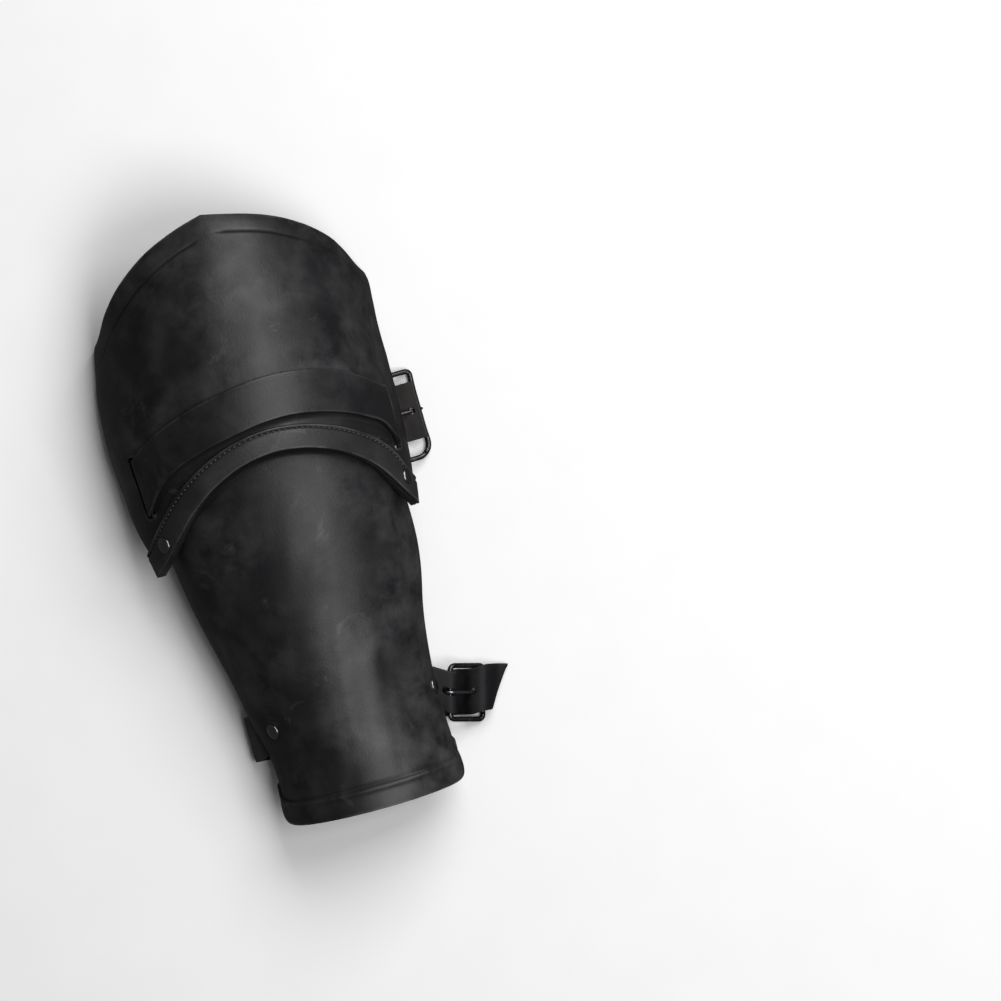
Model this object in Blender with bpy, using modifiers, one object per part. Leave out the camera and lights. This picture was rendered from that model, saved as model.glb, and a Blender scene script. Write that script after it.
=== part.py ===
"""A leather arm bracer with an elbow plate, two straps and two buckles.

The bracer lies with its open back on the floor: +Z is up, +Y points up the arm, and the buckles are at +X.
The two plates are bent sheets. A point of a sheet is given by its turn, the angle round the arm from the
crown, and by its distance down the arm from the peak of the elbow plate.
"""

import math

import bmesh
import bpy
import numpy as np
from mathutils import Matrix, Vector
from mathutils.bvhtree import BVHTree

MM = 0.001
GAP = 0.3 * MM                    # between pieces that touch on the real bracer

# The elbow plate
ELBOW_WIDTH = 148 * MM            # across its widest part
ELBOW_REACH = 168.5 * MM          # from its peak down to the tips of its ears
ELBOW_RISE = 90 * MM              # height of its deepest section
ELBOW_SHEET = 3 * MM
PEAK_DROP = 50 * MM               # from the peak down to the top corners
ARCH_DROP = 44.5 * MM             # from the top of the arch down to the ear tips
ELBOW_SIDE_TURN = 84.0            # degrees from the crown to the side edge
LEFT_EAR_TIP_TURN = 66.5
RIGHT_EAR_TIP_TURN = 70.0

# The strip along the arch
TRIM_WIDTH = 12 * MM
TRIM_SHEET = 2 * MM

# The forearm plate
FOREARM_WIDTH = 129 * MM          # across its upper end
FOREARM_LENGTH = 206 * MM
FOREARM_RISE = 57 * MM
FOREARM_SHEET = 3 * MM
OVERLAP = 20 * MM                 # how far its crown reaches under the arch
FOREARM_SHOULDER_DROP = 40 * MM   # from its hidden top edge's crown down to its shoulders
FOREARM_SIDE_TURN = 82.0
WRIST_BULGE = 5.2 * MM            # how far the wrist edge bows out
WRIST_BULGE_ASIDE = 0.08          # where it bows out most, as a share of the way to the right side
WRIST_CORNER = 6 * MM             # how much its corners are cut back

# The elbow strap and its buckle
ELBOW_STRAP_WIDTH = 29 * MM
ELBOW_STRAP_WAIST = 21.3 * MM     # its width over the crown
ELBOW_STRAP_SHEET = 2.4 * MM
ELBOW_STRAP_DOWN = 97.5 * MM      # from the peak to the strap's middle, where it lies highest
ELBOW_STRAP_SAG = 25.5 * MM       # how much lower it lies at the slots
LEFT_SLOT_TURN = 57.5
RIGHT_SLOT_TURN = 66.5
SLOT_WIDTH = 9.5 * MM
SLOT_PLAY = 1.5 * MM              # at each end of a slot
ELBOW_BAR_OUT = 10.3 * MM         # from the plate's edge out to the buckle's outer bar
ELBOW_FRAME_DEPTH = 20.5 * MM     # between the middles of its two bars
ELBOW_FRAME_LEAN = 25.0
ELBOW_PLAY_ABOVE = 4.2 * MM       # between the strap and the frame's upper side bar
ELBOW_PLAY_BELOW = 7.6 * MM       # and its lower one
ELBOW_LOWER_CORNER = 8 * MM       # the frame's lower corners are rounder
FOLD_TAIL = 22 * MM

# The wrist strap and its buckle
WRIST_STRAP_WIDTH = 23 * MM
WRIST_STRAP_SHEET = 2.2 * MM
WRIST_STRAP_UP = 52 * MM          # from the wrist edge up to the rivets
LEFT_WRIST_RIVET_TURN = 55.0
RIGHT_WRIST_RIVET_TURN = 74.5
WRIST_STRAP_LEAN = 10.3 * MM      # how far the strap drifts towards the wrist on its way to the buckle
STRAP_TIP = 9 * MM                # the slanted tip past the buckle
TIP_SLIDE = 3 * MM                # how far the tip has slid towards the elbow
CHAPE_SHEET = 2 * MM
CHAPE_WIDTH = 21 * MM
WRIST_BAR_OUT = 21.4 * MM         # from the plate's edge out to the middle of the outer bar
WRIST_FRAME_DEPTH = 20 * MM
WRIST_FRAME_LEAN = 33.5
WRIST_FRAME_YAW = 16.0            # how far the buckle points towards the wrist
WRIST_FRAME_PLAY = 0.6 * MM       # between the strap's edge and the frame's side bar

# Metal
BAR_RADIUS = 1.3 * MM
PRONG_RADIUS = 1.1 * MM
FRAME_CORNER = 2.6 * MM
FRAME_PINCH = 0.8 * MM            # how far the outer bar bows in
RIVET_CAP_RADIUS = 4.2 * MM
RIVET_CAP_HEIGHT = 1.9 * MM
RIVET_BACK_RADIUS = 3.8 * MM
RIVET_BACK_HEIGHT = 1.0 * MM
RIVET_SHANK_RADIUS = 1.6 * MM
EAR_RIVET_UP = 15 * MM            # above the ear tips
LEFT_EAR_RIVET_TURN = 52.7
RIGHT_EAR_RIVET_TURN = 63.7

# Each row is a cross section of the elbow plate.
# along: share of ELBOW_REACH down from the peak; half_width: share of half of ELBOW_WIDTH
# crown: the crown's height over the widest level, share of ELBOW_RISE
# level: the widest level's height over the floor, share of ELBOW_RISE
# aside: sideways offset, share of half of ELBOW_WIDTH
SECTION_COLUMNS = ("along", "half_width", "crown", "level", "aside")
ELBOW_SECTIONS = (
    (0.00, 0.870, 0.880, -0.145, 0.000),
    (0.15, 0.930, 0.965, -0.122, 0.000),
    (0.30, 0.962, 1.010, -0.101, 0.004),
    (0.45, 0.989, 0.990, -0.050, -0.038),
    (0.60, 1.000, 0.915, 0.028, -0.050),
    (0.75, 0.992, 0.845, 0.055, -0.047),
    (0.90, 0.978, 0.765, 0.082, -0.046),
    (1.00, 0.966, 0.735, 0.100, -0.045),
)

# The same columns for the forearm plate, from its hidden top edge down to the wrist edge, as shares of
# FOREARM_LENGTH, half of FOREARM_WIDTH and FOREARM_RISE.
FOREARM_SECTIONS = (
    (0.00, 0.965, 0.945, 0.300, -0.030),
    (0.12, 0.972, 0.955, 0.325, -0.030),
    (0.25, 0.960, 0.975, 0.318, -0.022),
    (0.40, 0.921, 0.965, 0.281, 0.006),
    (0.55, 0.823, 0.907, 0.251, 0.010),
    (0.70, 0.748, 0.847, 0.223, 0.022),
    (0.85, 0.708, 0.802, 0.198, 0.060),
    (0.93, 0.736, 0.804, 0.187, 0.058),
    (1.00, 0.757, 0.805, 0.175, 0.060),
)

# The peaked top edge, as a drop against the way round from the crown: across is the share of the side edge's
# turn, and left and right are the drops on either side, as shares of PEAK_DROP.
PEAK_COLUMNS = ("across", "left", "right")
PEAK_EDGE = (
    (0.00, 0.000, 0.000),
    (0.07, 0.032, 0.028),
    (0.20, 0.106, 0.089),
    (0.36, 0.237, 0.186),
    (0.54, 0.440, 0.358),
    (0.73, 0.700, 0.603),
    (0.88, 0.914, 0.900),
    (1.00, 1.000, 1.000),
)

# The arched lower edge: across goes from -1 at the left side to 1 at the right, and drop is the share of
# ARCH_DROP.
ARCH_COLUMNS = ("across", "drop")
ARCH_EDGE = (
    (-1.00, 1.000),
    (-0.80, 0.845),
    (-0.58, 0.615),
    (-0.40, 0.385),
    (-0.23, 0.175),
    (-0.10, 0.055),
    (0.06, 0.000),
    (0.20, 0.045),
    (0.34, 0.155),
    (0.50, 0.335),
    (0.66, 0.550),
    (0.82, 0.785),
    (1.00, 1.000),
)

# The elbow strap's course from the left slot at -1 to the right one at 1. sag: share of ELBOW_STRAP_SAG;
# widening: how far its width has grown from the waist to the full width.
COURSE_COLUMNS = ("across", "sag", "widening")
STRAP_COURSE = (
    (-1.00, 1.00, 1.00),
    (-0.82, 0.68, 0.35),
    (-0.63, 0.43, 0.07),
    (-0.45, 0.27, 0.05),
    (-0.16, 0.09, 0.05),
    (0.22, 0.00, 0.00),
    (0.47, 0.14, 0.05),
    (0.72, 0.42, 0.07),
    (0.92, 0.74, 0.25),
    (1.00, 0.96, 1.00),
)

ELBOW_STRAP_LANES = 5              # points across a strap
STRAP_LANES = 3

ALONG_ARM = np.array([0.0, 1.0, 0.0])
UP = np.array([0.0, 0.0, 1.0])

LEATHER = (0.012, 0.012, 0.013)
TRIM_LEATHER = (0.018, 0.018, 0.019)
STRAP_LEATHER = (0.010, 0.010, 0.011)
BLACK_METAL = (0.06, 0.06, 0.065)
BRIGHT_METAL = (0.72, 0.72, 0.74)


def read(table, columns, column, at):
    """Reads one column of a table at the given places in its first column, along a smooth curve."""
    rows = np.array(table, float)
    x, y = rows[:, 0], rows[:, columns.index(column)]
    slope = np.gradient(y, x)
    at = np.clip(np.asarray(at, float), x[0], x[-1])
    i = np.clip(np.searchsorted(x, at, side="right") - 1, 0, len(x) - 2)
    h = x[i + 1] - x[i]
    t = (at - x[i]) / h
    return (
        (2 * t**3 - 3 * t**2 + 1) * y[i] + (t**3 - 2 * t**2 + t) * h * slope[i]
        + (3 * t**2 - 2 * t**3) * y[i + 1] + (t**3 - t**2) * h * slope[i + 1]
    )


def ease(t):
    """Goes smoothly from 0 to 1."""
    t = np.clip(t, 0.0, 1.0)
    return t * t * (3 - 2 * t)


class Plate:
    """A bent sheet, given by its cross sections."""

    def __init__(self, sections, start, length, width, rise):
        self.sections, self.start, self.length = sections, start, length
        self.half, self.rise = width / 2, rise

    def skin(self, turn, down):
        """Its outer surface: an ellipse arc round the arm at each distance down from the peak."""
        turn, down = np.broadcast_arrays(np.radians(np.asarray(turn, float)), np.asarray(down, float))
        along = (down - self.start) / self.length
        column = {c: read(self.sections, SECTION_COLUMNS, c, along) for c in SECTION_COLUMNS[1:]}
        x = self.half * (column["aside"] + column["half_width"] * np.sin(turn))
        z = self.rise * (column["level"] + column["crown"] * np.cos(turn))
        return np.stack([x, -down, z], axis=-1)

    def normal(self, turn, down):
        """The outward unit normal, from the cross product of the two tangents."""
        step_turn, step_down = 0.2, 0.2 * MM
        low = self.start + step_down
        down = np.clip(down, low, self.start + self.length - step_down)
        round_arm = self.skin(turn + step_turn, down) - self.skin(turn - step_turn, down)
        down_arm = self.skin(turn, down + step_down) - self.skin(turn, down - step_down)
        n = np.cross(down_arm, round_arm)
        return n / np.linalg.norm(n, axis=-1, keepdims=True)

    def point(self, turn, down, lift=0.0):
        """A point at a height over the outer surface, negative inside it."""
        lift = np.asarray(lift, float)[..., None]
        return self.skin(turn, down) + self.normal(turn, down) * lift


ARCH_TOP = ELBOW_REACH - ARCH_DROP
FOREARM_TOP = ARCH_TOP - OVERLAP
WRIST_END = FOREARM_TOP + FOREARM_LENGTH
ELBOW = Plate(ELBOW_SECTIONS, 0.0, ELBOW_REACH, ELBOW_WIDTH, ELBOW_RISE)
FOREARM = Plate(FOREARM_SECTIONS, FOREARM_TOP, FOREARM_LENGTH, FOREARM_WIDTH, FOREARM_RISE)


def elbow_side_turn(across, down):
    """The side edge's turn: it swings in from the straight side to the ear tip."""
    tip = np.where(np.asarray(across) < 0, LEFT_EAR_TIP_TURN, RIGHT_EAR_TIP_TURN)
    share = (down - ARCH_TOP) / ARCH_DROP
    return ELBOW_SIDE_TURN + (tip - ELBOW_SIDE_TURN) * ease(share)


def peak_edge(across):
    left, right = (read(PEAK_EDGE, PEAK_COLUMNS, side, np.abs(across)) for side in ("left", "right"))
    return PEAK_DROP * np.where(np.asarray(across) < 0, left, right)


def arch_edge(across):
    return ARCH_TOP + ARCH_DROP * read(ARCH_EDGE, ARCH_COLUMNS, "drop", across)


def elbow_sheet_place(across, share):
    """Turn and distance down for a place on the elbow plate, share 0 on the peak edge and 1 on the arch."""
    down = peak_edge(across) * (1 - share) + arch_edge(across) * share
    return across * elbow_side_turn(across, down), down


def forearm_top_edge(across):
    return FOREARM_TOP + FOREARM_SHOULDER_DROP * np.abs(across) ** 1.3


def wrist_edge(across):
    return WRIST_END - WRIST_BULGE * (across - WRIST_BULGE_ASIDE) ** 2 - WRIST_CORNER * across**12


def forearm_sheet_place(across, share):
    down = forearm_top_edge(across) * (1 - share) + wrist_edge(across) * share
    return across * FOREARM_SIDE_TURN, down


def material(name, colour, roughness, metallic):
    m = bpy.data.materials.new(name)
    m.use_nodes = True
    shader = m.node_tree.nodes["Principled BSDF"]
    shader.inputs["Base Color"].default_value = (*colour, 1)
    shader.inputs["Roughness"].default_value = roughness
    shader.inputs["Metallic"].default_value = metallic
    return m


def add_object(name, data, collection, finish=None):
    obj = bpy.data.objects.new(name, data)
    collection.objects.link(obj)
    if finish:
        obj.data.materials.append(finish)
    return obj


def grid(name, place, columns, rows, collection, finish):
    """A grid whose vertices go where place(u, v) puts them, with u and v from 0 to 1."""
    bm = bmesh.new()
    bmesh.ops.create_grid(bm, x_segments=columns, y_segments=rows, size=1.0)
    uv = np.array([(v.co.x, v.co.y) for v in bm.verts]) / 2 + 0.5
    for vertex, co in zip(bm.verts, place(uv[:, 0], uv[:, 1])):
        vertex.co = co
    mesh = bpy.data.meshes.new(name)
    bm.to_mesh(mesh)
    bm.free()
    mesh.shade_smooth()
    return add_object(name, mesh, collection, finish)


def solidify(obj, thickness, offset):
    modifier = obj.modifiers.new("Wall", "SOLIDIFY")
    modifier.thickness = thickness
    modifier.offset = offset
    modifier.use_even_offset = True
    return obj


def cut(obj, cutter):
    modifier = obj.modifiers.new("Cut", "BOOLEAN")
    modifier.operation = "DIFFERENCE"
    modifier.object = cutter


def as_cutter(obj):
    obj.hide_render = True
    obj.display_type = "WIRE"
    return obj


def rung(centre, half, lanes, side=ALONG_ARM):
    """Points across a strap at one place of its route, in a straight line."""
    reach = np.linspace(-half, half, lanes)
    return np.array(centre, float) + reach[:, None] * side


def skin_rung(plate, turn, down, lift, half, lanes):
    """Points across a strap that lies along a plate's surface."""
    return plate.point(turn, down - np.linspace(-half, half, lanes), lift)


def smooth_route(rungs, step):
    """Rungs about a step apart along a smooth curve through the given ones."""
    rungs = np.array(rungs)
    middle = rungs[:, rungs.shape[1] // 2]
    span = np.linalg.norm(np.diff(middle, axis=0), axis=1)
    where = np.concatenate([[0], np.cumsum(np.sqrt(span))])
    tangent = np.gradient(rungs, where, axis=0)
    route = []
    for i, length in enumerate(span):
        count = max(1, round(length / step))
        h = where[i + 1] - where[i]
        t = (np.arange(count) / count)[:, None, None]
        route.append(
            (2 * t**3 - 3 * t**2 + 1) * rungs[i] + (t**3 - 2 * t**2 + t) * h * tangent[i]
            + (3 * t**2 - 2 * t**3) * rungs[i + 1] + (t**3 - t**2) * h * tangent[i + 1]
        )
    return np.concatenate([*route, rungs[-1:]])


def route_distance(route):
    middle = route[:, route.shape[1] // 2]
    return np.concatenate([[0], np.cumsum(np.linalg.norm(np.diff(middle, axis=0), axis=1))])


def on_floor(route, thickness):
    """Keeps a strap's underside from going below the floor."""
    route[:, :, 2] = np.maximum(route[:, :, 2], thickness / 2)
    return route


def band(name, route, thickness, collection, finish):
    """A flat strap whose middle surface goes through the rungs of its route."""
    last, lanes = route.shape[0] - 1, route.shape[1] - 1

    def place(u, v):
        return route[np.rint(u * last).astype(int), np.rint(v * lanes).astype(int)]

    return solidify(grid(name, place, last, lanes, collection, finish), thickness, 0.0)


def tube(name, points, radius, cyclic, collection, finish):
    curve = bpy.data.curves.new(name, "CURVE")
    curve.dimensions = "3D"
    curve.bevel_depth = radius
    curve.bevel_resolution = 2
    curve.use_fill_caps = not cyclic
    spline = curve.splines.new("POLY")
    spline.points.add(len(points) - 1)
    for target, co in zip(spline.points, points):
        target.co = (*co, 1)
    spline.use_cyclic_u = cyclic
    return add_object(name, curve, collection, finish)


class Buckle:
    """Where a buckle lies: its outer bar, its hinge bar and the slanted plane between them.

    outer is the point of the outer bar that the prong lies over, and spans are the ways from there up and
    down the arm to the frame's two side bars.
    """

    def __init__(self, outer, depth, lean, yaw, spans, corners):
        lean, self.yaw = math.radians(lean), math.radians(yaw)
        self.along = np.array([math.cos(self.yaw), -math.sin(self.yaw), 0.0])
        self.side = np.array([math.sin(self.yaw), math.cos(self.yaw), 0.0])
        self.out = self.along * math.cos(lean) - UP * math.sin(lean)
        self.up = self.along * math.sin(lean) + UP * math.cos(lean)
        self.outer = np.array(outer)
        self.hinge = self.outer - self.out * depth
        self.depth, self.spans, self.corners = depth, spans, corners

    def frame_points(self):
        """A rectangle with round corners, whose outer bar bows in a little."""
        points = []
        middle = (self.outer + self.hinge) / 2
        for start, out_sign, side_sign in ((0, 1, 1), (90, -1, 1), (180, -1, -1), (270, 1, -1)):
            upper = side_sign > 0
            corner = self.corners[0] if upper else self.corners[1]
            span = self.spans[0] if upper else self.spans[1]
            for k in range(5):
                angle = math.radians(start + 22.5 * k)
                out = out_sign * (self.depth / 2 - corner) + corner * math.cos(angle)
                side = side_sign * (span - corner) + corner * math.sin(angle)
                points.append(middle + self.out * out + self.side * side)
        pinch = self.outer - self.out * FRAME_PINCH
        return [*points, pinch]

    def prong_points(self):
        """A hook round the hinge bar, then straight over to the top of the outer bar."""
        ring = BAR_RADIUS + GAP + PRONG_RADIUS
        hook = []
        for degrees in range(-120, -271, -30):
            angle = math.radians(degrees)
            hook.append(self.hinge + ring * (self.out * math.cos(angle) + self.up * math.sin(angle)))
        tip = self.prong_line()[1]
        return [*hook, tip + self.out * BAR_RADIUS]

    def prong_line(self):
        ring = BAR_RADIUS + GAP + PRONG_RADIUS
        return self.hinge + self.up * ring, self.outer + self.up * ring


def loop_round(buckle, towards, radius, count=9):
    """A half turn round a buckle's hinge bar, open on the side that the leather comes from."""
    towards = buckle.along * towards[0] + UP * towards[1]
    towards /= np.linalg.norm(towards)
    across = np.cross(buckle.side, towards)
    angles = np.linspace(0, math.pi, count)
    return [buckle.hinge + radius * (across * math.cos(a) - towards * math.sin(a)) for a in angles]


def box_cutter(name, centre, size, yaw, collection):
    bpy.ops.mesh.primitive_cube_add(size=1, location=centre)
    turned = Matrix.Translation(centre) @ Matrix.Rotation(-yaw, 4, "Z")
    return adopt(name, turned @ Matrix.Diagonal((*size, 1)), collection)


def adopt(name, matrix, collection):
    """Renames the primitive just added, puts its place into its mesh and moves it to a collection."""
    obj = bpy.context.object
    obj.name = name
    obj.matrix_world = Matrix.Identity(4)
    obj.data.transform(matrix)
    for owner in list(obj.users_collection):
        owner.objects.unlink(obj)
    collection.objects.link(obj)
    return as_cutter(obj)


def rod_cutter(name, start, end, radius, collection):
    start, end = Vector(start), Vector(end)
    way = end - start
    bpy.ops.mesh.primitive_cylinder_add(vertices=12, radius=radius, depth=way.length)
    matrix = Matrix.Translation((start + end) / 2) @ way.to_track_quat("Z", "Y").to_matrix().to_4x4()
    return adopt(name, matrix, collection)


def slot_cutter(name, side, collection):
    """A block that follows the elbow plate's curve at a slot, for the strap to pass through."""
    down_middle = ELBOW_STRAP_DOWN + ELBOW_STRAP_SAG
    half_long = ELBOW_STRAP_WIDTH / 2 + SLOT_PLAY
    degrees = math.degrees(SLOT_WIDTH / (ELBOW_WIDTH / 2))
    over = 3 * ELBOW_SHEET
    middle = -LEFT_SLOT_TURN if side < 0 else RIGHT_SLOT_TURN

    def place(u, v):
        turn = middle + (0.5 - u) * degrees
        return ELBOW.point(turn, down_middle + (v - 0.5) * 2 * half_long, over)

    block = grid(name, place, 4, 6, collection, None)
    return as_cutter(solidify(block, 3 * over, -1.0))


def elbow_buckle():
    """The elbow buckle lies at the right, just under the plate's edge, with its outer bar near the floor."""
    down = ELBOW_STRAP_DOWN + ELBOW_STRAP_SAG
    edge = ELBOW.skin(elbow_side_turn(1, down), down)
    outer = (edge[0] + ELBOW_BAR_OUT - BAR_RADIUS, -down, BAR_RADIUS + GAP)
    reach = ELBOW_STRAP_WIDTH / 2 + BAR_RADIUS
    spans = (reach + ELBOW_PLAY_ABOVE, reach + ELBOW_PLAY_BELOW)
    return Buckle(outer, ELBOW_FRAME_DEPTH, ELBOW_FRAME_LEAN, 0.0, spans, (FRAME_CORNER, ELBOW_LOWER_CORNER))


def wrist_buckle():
    """The wrist buckle lies beside the right edge, a little nearer the wrist than the rivets."""
    down = WRIST_END - WRIST_STRAP_UP + WRIST_STRAP_LEAN
    edge = FOREARM.skin(FOREARM_SIDE_TURN, down)
    outer = (edge[0] + WRIST_BAR_OUT, -down, BAR_RADIUS + GAP)
    span = WRIST_STRAP_WIDTH / 2 + BAR_RADIUS + WRIST_FRAME_PLAY
    corners = (FRAME_CORNER, FRAME_CORNER)
    return Buckle(outer, WRIST_FRAME_DEPTH, WRIST_FRAME_LEAN, WRIST_FRAME_YAW, (span, span), corners)


def flat(point, height):
    """The same place at another height."""
    return np.array([point[0], point[1], height])


def rise_through(buckle, sheet, share):
    """A free strap's way off the floor, up past the prong at a share of its length, and over its tip."""
    low, tip = buckle.prong_line()
    floor = sheet / 2
    crossing = low * (1 - share) + tip * share
    above = tip + buckle.up * (PRONG_RADIUS + GAP + sheet / 2)
    start = buckle.hinge * 0.85 + crossing * 0.15
    rising = start * 0.45 + crossing * 0.55
    run = float((above - crossing) @ buckle.along)
    return [
        flat(start, floor),
        flat(rising, floor + (crossing[2] - floor) * 0.35),
        crossing,
        above + (UP * 0.35 - buckle.along * 0.3) * run,
    ], above


def elbow_strap_route():
    """From the tail of its fold round the buckle, up inside, over the plate, and back along the floor."""
    down = ELBOW_STRAP_DOWN + ELBOW_STRAP_SAG
    lift = GAP + ELBOW_STRAP_SHEET / 2
    inside = -ELBOW_SHEET - lift
    floor = ELBOW_STRAP_SHEET / 2
    half = ELBOW_STRAP_WIDTH / 2
    waist = ELBOW_STRAP_WAIST / 2
    pitch = ELBOW_STRAP_SHEET + GAP
    lanes = ELBOW_STRAP_LANES
    buckle = elbow_buckle()
    hinge = buckle.hinge
    fold = loop_round(buckle, (0, 1), BAR_RADIUS + lift)[::-1]
    main_x = fold[-1][0]
    slot_half = math.degrees(SLOT_WIDTH / (ELBOW_WIDTH / 2)) / 2
    left_leaves, left_enters = LEFT_SLOT_TURN - slot_half * 0.45, LEFT_SLOT_TURN + slot_half * 0.75
    right_leaves, right_enters = RIGHT_SLOT_TURN - slot_half * 0.45, RIGHT_SLOT_TURN + slot_half * 0.75

    def level(x, z):
        return rung((x, -down, z), half, lanes)

    over = []
    for turn in np.linspace(right_leaves, -left_leaves, 33):
        across = turn / (right_leaves if turn > 0 else left_leaves)
        half_here = waist + (half - waist) * read(STRAP_COURSE, COURSE_COLUMNS, "widening", across)
        down_here = ELBOW_STRAP_DOWN + ELBOW_STRAP_SAG * read(STRAP_COURSE, COURSE_COLUMNS, "sag", across)
        over.append(skin_rung(ELBOW, turn, down_here, lift, half_here, lanes))
    left_in = ELBOW.point(-left_enters, down, inside)
    bend = left_in[2] * 0.4
    return [
        level(main_x - pitch, hinge[2] + FOLD_TAIL),
        level(main_x - pitch, hinge[2] + FOLD_TAIL / 2),
        level(fold[0][0], hinge[2] + 2.5 * MM),
        *[level(x, z) for x, _, z in fold],
        level(main_x, hinge[2] + 3 * MM),
        skin_rung(ELBOW, right_enters, down, inside, half, lanes),
        *over,
        skin_rung(ELBOW, -left_enters, down, inside, half, lanes),
        level(left_in[0], floor + bend),
        level(left_in[0] + bend * 0.3, floor + bend * 0.22),
        level(left_in[0] + bend, floor),
        level(left_in[0] / 2, floor),
        level(0.0, floor),
        level(hinge[0] / 2, floor),
        *[rung(place, half, lanes) for place in rise_through(buckle, ELBOW_STRAP_SHEET, 0.72)[0]],
    ]


def wrist_strap_route():
    """From its rivet inside the left edge, out under the edge, along the floor and up through the buckle."""
    down = WRIST_END - WRIST_STRAP_UP
    lift = GAP + WRIST_STRAP_SHEET / 2
    floor = WRIST_STRAP_SHEET / 2
    half = WRIST_STRAP_WIDTH / 2
    inside = -FOREARM_SHEET - lift
    edge = FOREARM.skin(-FOREARM_SIDE_TURN, down)
    buckle = wrist_buckle()
    rise, above = rise_through(buckle, WRIST_STRAP_SHEET, 0.6)
    bulge = WRIST_STRAP_SHEET * 1.7

    def within(turn, drop, out):
        """Under the plate, and then below its edge by a drop and out towards it."""
        return skin_rung(FOREARM, turn, down, inside, half, STRAP_LANES) - np.array([out, 0.0, drop])

    def place(x, z, drift):
        return rung((x, -down - WRIST_STRAP_LEAN * drift, z), half, STRAP_LANES)

    def turned(point, slide):
        """Along the buckle's bars, and slid towards the elbow by a share of TIP_SLIDE."""
        return rung(point + buckle.side * TIP_SLIDE * slide, half, STRAP_LANES, buckle.side)

    return [
        *[within(-LEFT_WRIST_RIVET_TURN + k, 0.0, 0.0) for k in (10, 0, -9, -18)],
        within(-FOREARM_SIDE_TURN, lift * 0.4, 0.0),
        within(-FOREARM_SIDE_TURN, lift * 1.9, FOREARM_SHEET * 0.4),
        place(edge[0] - bulge * 0.5, edge[2] * 0.62, 0.1),
        place(edge[0] - bulge, edge[2] * 0.38, 0.12),
        place(edge[0] - bulge * 0.4, edge[2] * 0.12, 0.15),
        place(edge[0] + 7 * MM, floor, 0.2),
        place(0.0, floor, 0.35),
        place(edge[0] * -0.6, floor, 0.45),
        *[turned(point, slide) for point, slide in zip(rise, (0.0, 0.1, 0.2, 0.8))],
        turned(above + (buckle.along * 0.35 - UP * 0.22) * STRAP_TIP, 1.0),
        turned(flat(above + buckle.along * STRAP_TIP, floor + 0.4 * MM), 1.0),
    ]


def chape_route():
    """The tab that holds the wrist buckle: riveted inside the right edge, and folded round the hinge bar."""
    down = WRIST_END - WRIST_STRAP_UP
    lift = GAP + CHAPE_SHEET / 2
    pitch = CHAPE_SHEET + GAP
    half = CHAPE_WIDTH / 2
    buckle = wrist_buckle()
    fold = loop_round(buckle, (-1, 0.15), BAR_RADIUS + lift)

    def layer(turn, depth, drop, out):
        lifted = -FOREARM_SHEET - lift - depth
        return skin_rung(FOREARM, turn, down, lifted, half, STRAP_LANES) + np.array([out, 0.0, -drop])

    return [
        *[layer(RIGHT_WRIST_RIVET_TURN + k, 0.0, 0.0, 0.0) for k in (-9, 0, 4)],
        layer(FOREARM_SIDE_TURN, 0.0, lift * 0.5, 0.0),
        layer(FOREARM_SIDE_TURN, 0.0, lift * 1.7, FOREARM_SHEET * 0.5),
        *[rung(point, half, STRAP_LANES, buckle.side) for point in fold],
        layer(FOREARM_SIDE_TURN, pitch, lift * 3.1, FOREARM_SHEET * 0.5),
        layer(FOREARM_SIDE_TURN, pitch, lift * 0.8, 0.0),
        *[layer(RIGHT_WRIST_RIVET_TURN + k, pitch, 0.0, 0.0) for k in (4, 0, -9)],
    ]


def make_plates(collection, finishes):
    """The two bent sheets and the strip along the arch."""

    def elbow_place(u, v):
        return ELBOW.point(*elbow_sheet_place(1 - 2 * u, v))

    def trim_place(u, v):
        across = 1 - 2 * u
        step = 0.01
        edge = arch_edge(across)
        slope = (arch_edge(across + step) - arch_edge(across - step)) / (2 * step)
        slant = slope / (ELBOW_WIDTH / 2 * math.radians(ELBOW_SIDE_TURN))
        down = edge - TRIM_WIDTH * np.sqrt(1 + slant**2) * (1 - v)
        return ELBOW.point(across * elbow_side_turn(across, down), down, GAP + TRIM_SHEET)

    def forearm_place(u, v):
        return FOREARM.point(*forearm_sheet_place(1 - 2 * u, v))

    elbow = grid("elbow_plate", elbow_place, 40, 16, collection, finishes["leather"])
    solidify(elbow, ELBOW_SHEET, -1)
    trim = solidify(grid("arch_trim", trim_place, 40, 2, collection, finishes["trim"]), TRIM_SHEET, -1)
    forearm = grid("forearm_plate", forearm_place, 32, 16, collection, finishes["leather"])
    return elbow, trim, solidify(forearm, FOREARM_SHEET, -1)


def make_straps(collection, finishes):
    """The two long straps and the short tab, each one band along its route."""
    route = on_floor(smooth_route(elbow_strap_route(), 5 * MM), ELBOW_STRAP_SHEET)
    elbow = band("elbow_strap", route, ELBOW_STRAP_SHEET, collection, finishes["strap"])

    route = on_floor(smooth_route(wrist_strap_route(), 3 * MM), WRIST_STRAP_SHEET)
    run = route_distance(route)
    slant = np.clip((run - run[-1] + STRAP_TIP) / STRAP_TIP, 0, 0.95)
    top = route[:, -1:]
    route = top + (route - top) * (1 - slant[:, None, None])
    wrist = band("wrist_strap", route, WRIST_STRAP_SHEET, collection, finishes["strap"])

    tab = smooth_route(chape_route(), 2.5 * MM)
    chape = band("wrist_chape", tab, CHAPE_SHEET, collection, finishes["strap"])
    return elbow, wrist, chape


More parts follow.
